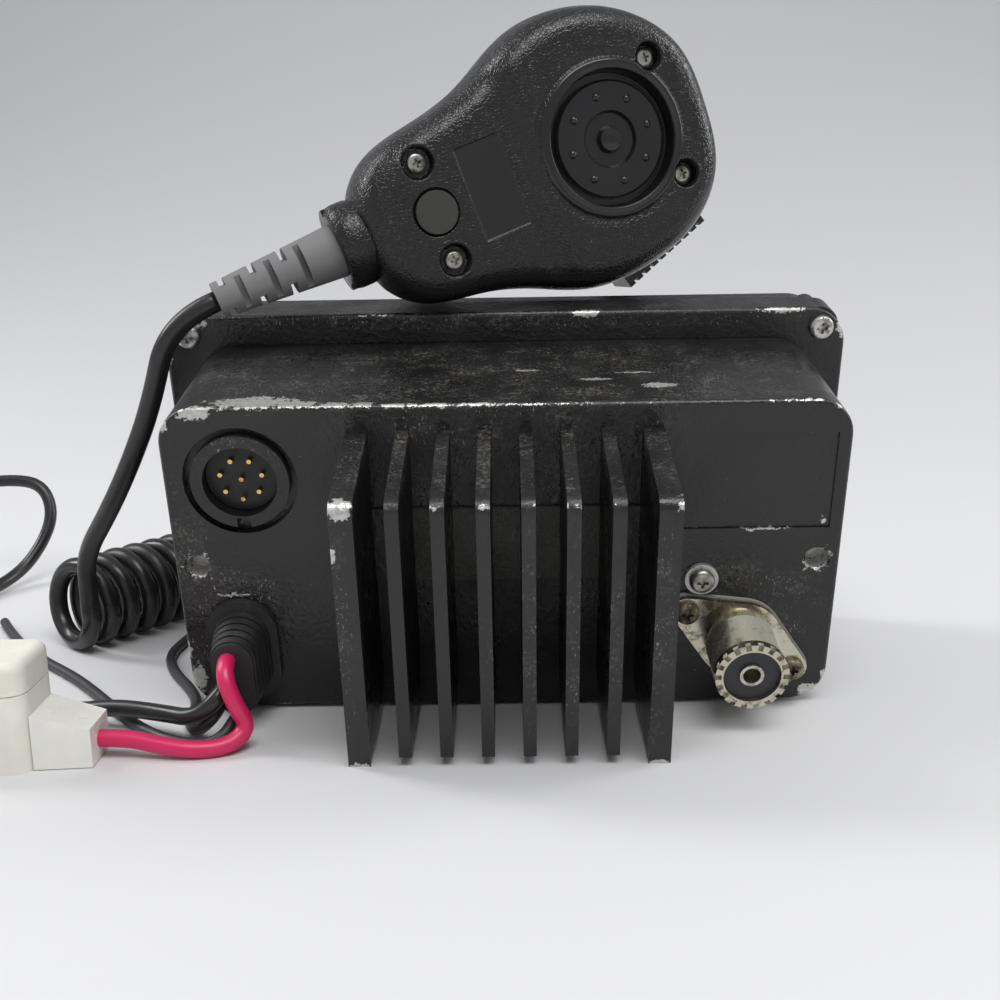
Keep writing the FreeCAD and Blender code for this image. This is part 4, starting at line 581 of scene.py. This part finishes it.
# The faces between such rings, round the middle point, and under the seam.
def back_faces(count):
    faces = []
    rows = count // AROUND
    for row in range(rows - 1):
        for place in range(AROUND):
            a = row * AROUND + place
            b = row * AROUND + (place + 1) % AROUND
            faces.append((a, b, b + AROUND, a + AROUND))
    last = (rows - 1) * AROUND
    faces += [(last + place, last + (place + 1) % AROUND, count - 1) for place in range(AROUND)]
    faces.append(tuple(reversed(range(AROUND))))
    return faces


# Half turns about X, one for each place along the neck.
def neck_points():
    found = []
    for x, radius in NECK:
        for place in range(NECK_STEPS + 1):
            angle = math.pi * place / NECK_STEPS
            found.append(on_mic(x, radius * math.cos(angle) * NECK_SPREAD, radius * math.sin(angle)))
    return found


def neck_faces(base):
    wide = NECK_STEPS + 1
    faces = []
    for row in range(len(NECK) - 1):
        for place in range(NECK_STEPS):
            a = base + row * wide + place
            faces.append((a + 1, a, a + wide, a + wide + 1))
    return faces


# Gloss on the seat and its collar, and smooth plastic in the label recess.
def paint_back(mesh, spots, count):
    for paint in ("grain", "gloss", "label"):
        mesh.materials.append(paints[paint])
    for face in mesh.polygons[:count - 1]:
        x, y, z = sum(spots[corner] for corner in face.vertices) / len(face.vertices)
        if math.hypot(x, y) < GLOSS_RADIUS and z > GLOSS_ABOVE:
            face.material_index = 1
        elif LABEL[0] < x < LABEL[1] and LABEL[2] < y < LABEL[3]:
            face.material_index = 2


def shell_mesh():
    spots = back_points()
    faces = back_faces(len(spots))
    verts = [on_mic(*spot) for spot in spots] + neck_points()
    mesh = bpy.data.meshes.new("mic_back")
    mesh.from_pydata(verts, [], faces + neck_faces(len(spots)))
    mesh.shade_smooth()
    paint_back(mesh, spots, len(faces))
    thing = bpy.data.objects.new("mic_back", mesh)
    bpy.context.collection.objects.link(thing)
    return thing


mic_back = shell_mesh()
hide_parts("mic_rear_shell")
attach(mic_back, "mic")


# A smooth curve led by its points, with a round body if it has a radius.
def spline(name, points, radius=0.0):
    curve = bpy.data.curves.new(name, "CURVE")
    curve.dimensions = "3D"
    curve.resolution_u = 16
    curve.bevel_depth = radius
    curve.bevel_resolution = 4
    curve.use_fill_caps = radius > 0
    line = curve.splines.new("NURBS")
    line.points.add(len(points) - 1)
    for point, spot in zip(line.points, points):
        point.co = (*spot, 1)
    line.order_u = 3
    line.use_endpoint_u = True
    thing = bpy.data.objects.new(name, curve)
    bpy.context.collection.objects.link(thing)
    return thing


# The points along a route, as its spline gives them.
def line_of(name, points):
    thing = spline(name, points)
    mesh = bpy.data.meshes.new_from_object(thing)
    found = [vertex.co.copy() for vertex in mesh.vertices]
    bpy.data.objects.remove(thing)
    bpy.data.meshes.remove(mesh)
    return found


# How far along its line each point is.
def lengths(points):
    total = [0.0]
    for first, second in zip(points, points[1:]):
        total.append(total[-1] + (second - first).length)
    return total


# The point and the heading some way along a line of points.
def along(points, total, way):
    way = min(max(way, 0.0), total[-1])
    place = 0
    while place < len(points) - 2 and total[place + 1] < way:
        place += 1
    step = total[place + 1] - total[place]
    share = (way - total[place]) / step if step else 0.0
    return points[place].lerp(points[place + 1], share), (points[place + 1] - points[place]).normalized()


# A closed tube round a line of points.
def tube_mesh(name, points, radius, sides):
    verts, faces = [], []
    side = None
    for place, spot in enumerate(points):
        ahead = (points[min(place + 1, len(points) - 1)] - points[max(place - 1, 0)]).normalized()
        if side is None:
            side = ahead.orthogonal().normalized()
        side = (side - ahead * side.dot(ahead)).normalized()
        other = ahead.cross(side)
        for corner in range(sides):
            angle = 2 * math.pi * corner / sides
            verts.append(spot + (side * math.cos(angle) + other * math.sin(angle)) * radius)
    for place in range(len(points) - 1):
        for corner in range(sides):
            a = place * sides + corner
            b = place * sides + (corner + 1) % sides
            faces.append((a, b, b + sides, a + sides))
    faces.append(tuple(reversed(range(sides))))
    faces.append(tuple(range((len(points) - 1) * sides, len(points) * sides)))
    mesh = bpy.data.meshes.new(name)
    mesh.from_pydata([tuple(v) for v in verts], [], faces)
    mesh.shade_smooth()
    thing = bpy.data.objects.new(name, mesh)
    bpy.context.collection.objects.link(thing)
    return thing


# The microphone's cord: its thickness, then its curls, which lie on the table.
WIRE = 4.8
WIRE_SIDES = 14
CURL_RADIUS = 10.0
CURL_TURNS = 23.25
CURL_STEPS = 44
CURL_HIGH = CURL_RADIUS + WIRE / 2
CURL_BENDS = [(-117, 43), (-88.68, 79.25), (-61.65, 113.85), (-17.75, 113.85), (-5.95, 113.85)]
# Where it leaves the guard, on the microphone, and the gland's end, in front of the radio's face.
GUARD_END = -98.4
GUARD_RUN = 12
GLAND_X = 58
GLAND_Z = -4
FACE_Y = 64
GLAND_LONG = 14
GLAND_RUN = 13
# Its bends from the guard to the curls, how far it drops onto them, and its bends from there to the gland.
DOWN_BENDS = [(-83.5, 18.6, 69), (-91.3, 23.5, 54), (-99, 28.2, 41.5)]
DROP = 15.8
LEAVING_RUN = 12.8
LYING = WIRE / 2
FRONT_BENDS = [(-3.5, 136, LYING), (10, 149, LYING), (29, 150, LYING), (45, 139, 3.0), (54, 122, 8.5),
               (58, 106, 17.5)]


# The middle line of the curls, from the end that the microphone hangs on.
def curl_points():
    axis = line_of("curl_axis", [on_table(x, y, CURL_HIGH) for x, y in CURL_BENDS])
    ways = lengths(axis)
    found = []
    for step in range(round(CURL_TURNS * CURL_STEPS) + 1):
        turn = step / CURL_STEPS
        spot, ahead = along(axis, ways, ways[-1] * turn / CURL_TURNS)
        across = Vector((ahead.y, -ahead.x, 0)).normalized()
        angle = -2 * math.pi * turn
        found.append(spot + (across * math.cos(angle) + Vector((0, 0, math.sin(angle)))) * CURL_RADIUS * MM)
    return found


guard_end = on_mic(GUARD_END, 0, 0)
guard_way = (on_mic(-1, 0, 0) - on_mic(0, 0, 0)).normalized()
gland = on_radio(GLAND_X, FACE_Y + GLAND_LONG, GLAND_Z)
gland_way = (on_radio(0, 1, 0) - on_radio(0, 0, 0)).normalized()
curls = curl_points()
first = curls[0]
last = curls[-1]
leaving = curls[-1] - curls[-2]
leaving.z = 0
leaving.normalize()
up = Vector((0, 0, MM))
lead = line_of("lead_line", [guard_end, guard_end + guard_way * GUARD_RUN * MM]
               + [on_table(*spot) for spot in DOWN_BENDS] + [first + up * DROP, first + up * WIRE, first])
tail = line_of("tail_line", [last, last + leaving * LEAVING_RUN * MM]
               + [on_table(*spot) for spot in FRONT_BENDS] + [gland + gland_way * GLAND_RUN * MM, gland])
cord_line = lead + curls[1:] + tail[1:]
mic_cord = tube_mesh("mic_cord", cord_line, WIRE / 2 * MM, WIRE_SIDES)
dress(mic_cord, "cord")
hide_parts("mic_cord_lead", "mic_cord_coil", "mic_cord_tail")
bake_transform(mic_cord)

# The power leads and the thin leads: their thickness, and where they leave the boot's nose.
LEAD = 3.8
THIN = 2.6
NOSE_Y = -13
nose_way = (on_radio(0, -1, 0) - on_radio(0, 0, 0)).normalized()
# Each lead starts on the radio, runs straight out of the nose and then bends over the table.
ROUTES = {
    "red_lead": {
        "start": (-61, NOSE_Y, 14.6), "straight": 4.5, "thick": LEAD, "paint": "red", "slot": "red_jacket",
        "spots": [(-58.6, -21.8, 10.6), (-56, -20.4, 4.8), (-59.6, -24.0, 1.9), (-67, -25.8, 1.9),
                  (-74.5, -25.2, 3.0), (-81, -24.3, 4.3), (-87, -24.3, 4.3)],
    },
    "black_lead": {
        "start": (-62, NOSE_Y, 8.6), "straight": 4.5, "thick": LEAD, "paint": "black", "slot": "black_jacket",
        "spots": [(-68, -18.6, 6.0), (-77, -13.4, 5.3), (-88, -9.4, 5.2), (-99, -6.6, 3.2), (-109, -2.6, 1.9),
                  (-120, 3.6, 1.9), (-133, 8.2, 1.9), (-148, 17, 1.9), (-158, 34, 1.9), (-163, 60, 1.9),
                  (-161.5, 88, 1.9), (-155.5, 104, 4.0), (-150, 111, 12), (-147.5, 116, 21),
                  (-151, 119, 29.5), (-160, 120, 31.7), (-169, 119, 31)],
    },
    "accessory_lead_long": {
        "start": (-59, NOSE_Y, 3.2), "straight": 4, "thick": THIN, "paint": "thin", "slot": "grey_jacket",
        "spots": [(-62.4, -22.0, 1.9), (-69.5, -21.6, 1.3), (-78.5, -16, 1.3), (-88, -6, 1.3), (-97, 6, 1.3),
                  (-108, 19.5, 1.3), (-122, 33, 1.3), (-135, 49, 1.3), (-144, 64, 1.3)],
    },
    "accessory_lead_short": {
        "start": (-63.6, NOSE_Y, 3.2), "straight": 4, "thick": THIN, "paint": "thin", "slot": "grey_jacket",
        "spots": [(-68.6, -16.4, 1.7), (-72.4, -9, 1.3), (-72.6, 1, 1.3), (-77, 11, 1.3), (-84, 22, 1.3),
                  (-88.6, 34, 1.3), (-87.6, 46, 1.3), (-85.6, 56, 1.3)],
    },
}
# What the red lead ends in, and the lead's own short end beyond it.
END_SPOTS = [(-134, -24, 5), (-142, -24, 5), (-152, -21, 2.6), (-161, -13, 1.9)]


# One lead as a round wire, in place of its solid.
def wire(node, points, thick, paint):
    piece = dress(spline(node + "_wire", points, thick / 2 * MM), paint)
    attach(piece, "radio")
    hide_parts(node)
    length = round(lengths(line_of("measured", points))[-1], 3)


for name, route in ROUTES.items():
    start = on_radio(*route["start"])
    points = [start, start + nose_way * route["straight"] * MM] + [on_table(*spot) for spot in route["spots"]]
    wire(name, points, route["thick"], route["paint"])
wire("red_lead_end", [on_table(*spot) for spot in END_SPOTS], LEAD, "red")

# The stage, in metres: a sheet of paper that curves up behind the radio.
SHEET_FRONT = -2.5
SHEET_WIDE = 8.0
SHEET_HIGH = 3.0
SWEEP_START = 0.30
SWEEP_RADIUS = 1.6
SWEEP_STEPS = 32
PAPER = (0.66, 0.66, 0.67)
PAPER_ROUGH = 0.6
DAYLIGHT = (0.97, 0.98, 1.0)
DAYLIGHT_STRENGTH = 0.50


def backdrop():
    profile = [(SHEET_FRONT, 0.0), (SWEEP_START, 0.0)]
    for step in range(1, SWEEP_STEPS + 1):
        angle = math.pi / 2 * step / SWEEP_STEPS
        profile.append((SWEEP_START + SWEEP_RADIUS * math.sin(angle), SWEEP_RADIUS * (1 - math.cos(angle))))
    profile.append((SWEEP_START + SWEEP_RADIUS, SHEET_HIGH))
    verts = [(x, y, z) for y, z in profile for x in (-SHEET_WIDE / 2, SHEET_WIDE / 2)]
    faces = [(2 * row, 2 * row + 1, 2 * row + 3, 2 * row + 2) for row in range(len(profile) - 1)]
    mesh = bpy.data.meshes.new("backdrop")
    mesh.from_pydata(verts, [], faces)
    mesh.shade_smooth()
    mesh.materials.append(Shader("backdrop_paper", PAPER, PAPER_ROUGH).material)
    thing = bpy.data.objects.new("backdrop", mesh)
    bpy.context.collection.objects.link(thing)


def daylight():
    world = bpy.data.worlds.new("studio")
    bpy.context.scene.world = world
    world.use_nodes = True
    background = world.node_tree.nodes["Background"]
    background.inputs["Color"].default_value = (*DAYLIGHT, 1)
    background.inputs["Strength"].default_value = DAYLIGHT_STRENGTH


# A soft lamp of some size that looks at a spot.
def lamp(name, spot, target, size, power):
    light = bpy.data.lights.new(name, "AREA")
    light.shape = "RECTANGLE"
    light.size, light.size_y = size
    light.energy = power
    thing = bpy.data.objects.new(name, light)
    bpy.context.collection.objects.link(thing)
    thing.location = spot
    thing.rotation_euler = (Vector(target) - Vector(spot)).to_track_quat("-Z", "Y").to_euler()


backdrop()
daylight()
lamp("overhead", (0.2, -0.55, 1.15), (0, 0, 0.05), (0.9, 0.6), 10)
lamp("window_right", (1.1, 0.25, 0.65), (0, 0.02, 0.08), (0.4, 0.8), 5)
lamp("strip_left", (-0.75, 0.15, 0.65), (0, 0, 0.12), (0.2, 0.6), 4)

# The photograph's camera, fitted to the radio's edges: its place on the radio in mm and its turns in radians.
SENSOR = 36
LENS = 42.835
CAMERA_SPOT = (0.734, -231.52, 154.90)
CAMERA_YAW = 0.00872544
CAMERA_PITCH = -0.43961252
CAMERA_ROLL = 0.01775287


def camera():
    data = bpy.data.cameras.new("camera")
    data.sensor_width = SENSOR
    data.lens = LENS
    thing = bpy.data.objects.new("camera", data)
    bpy.context.collection.objects.link(thing)
    aim = (Matrix.Rotation(CAMERA_YAW, 4, "Z") @ Matrix.Rotation(CAMERA_PITCH, 4, "X")
           @ Matrix.Rotation(CAMERA_ROLL, 4, "Y"))
    upright = Matrix.Rotation(math.pi / 2, 4, "X")
    place = Matrix.Translation([value * MM for value in CAMERA_SPOT])
    thing.matrix_world = STANCE @ place @ aim @ upright
    bpy.context.scene.camera = thing


camera()
bpy.context.scene.view_settings.view_transform = "Standard"
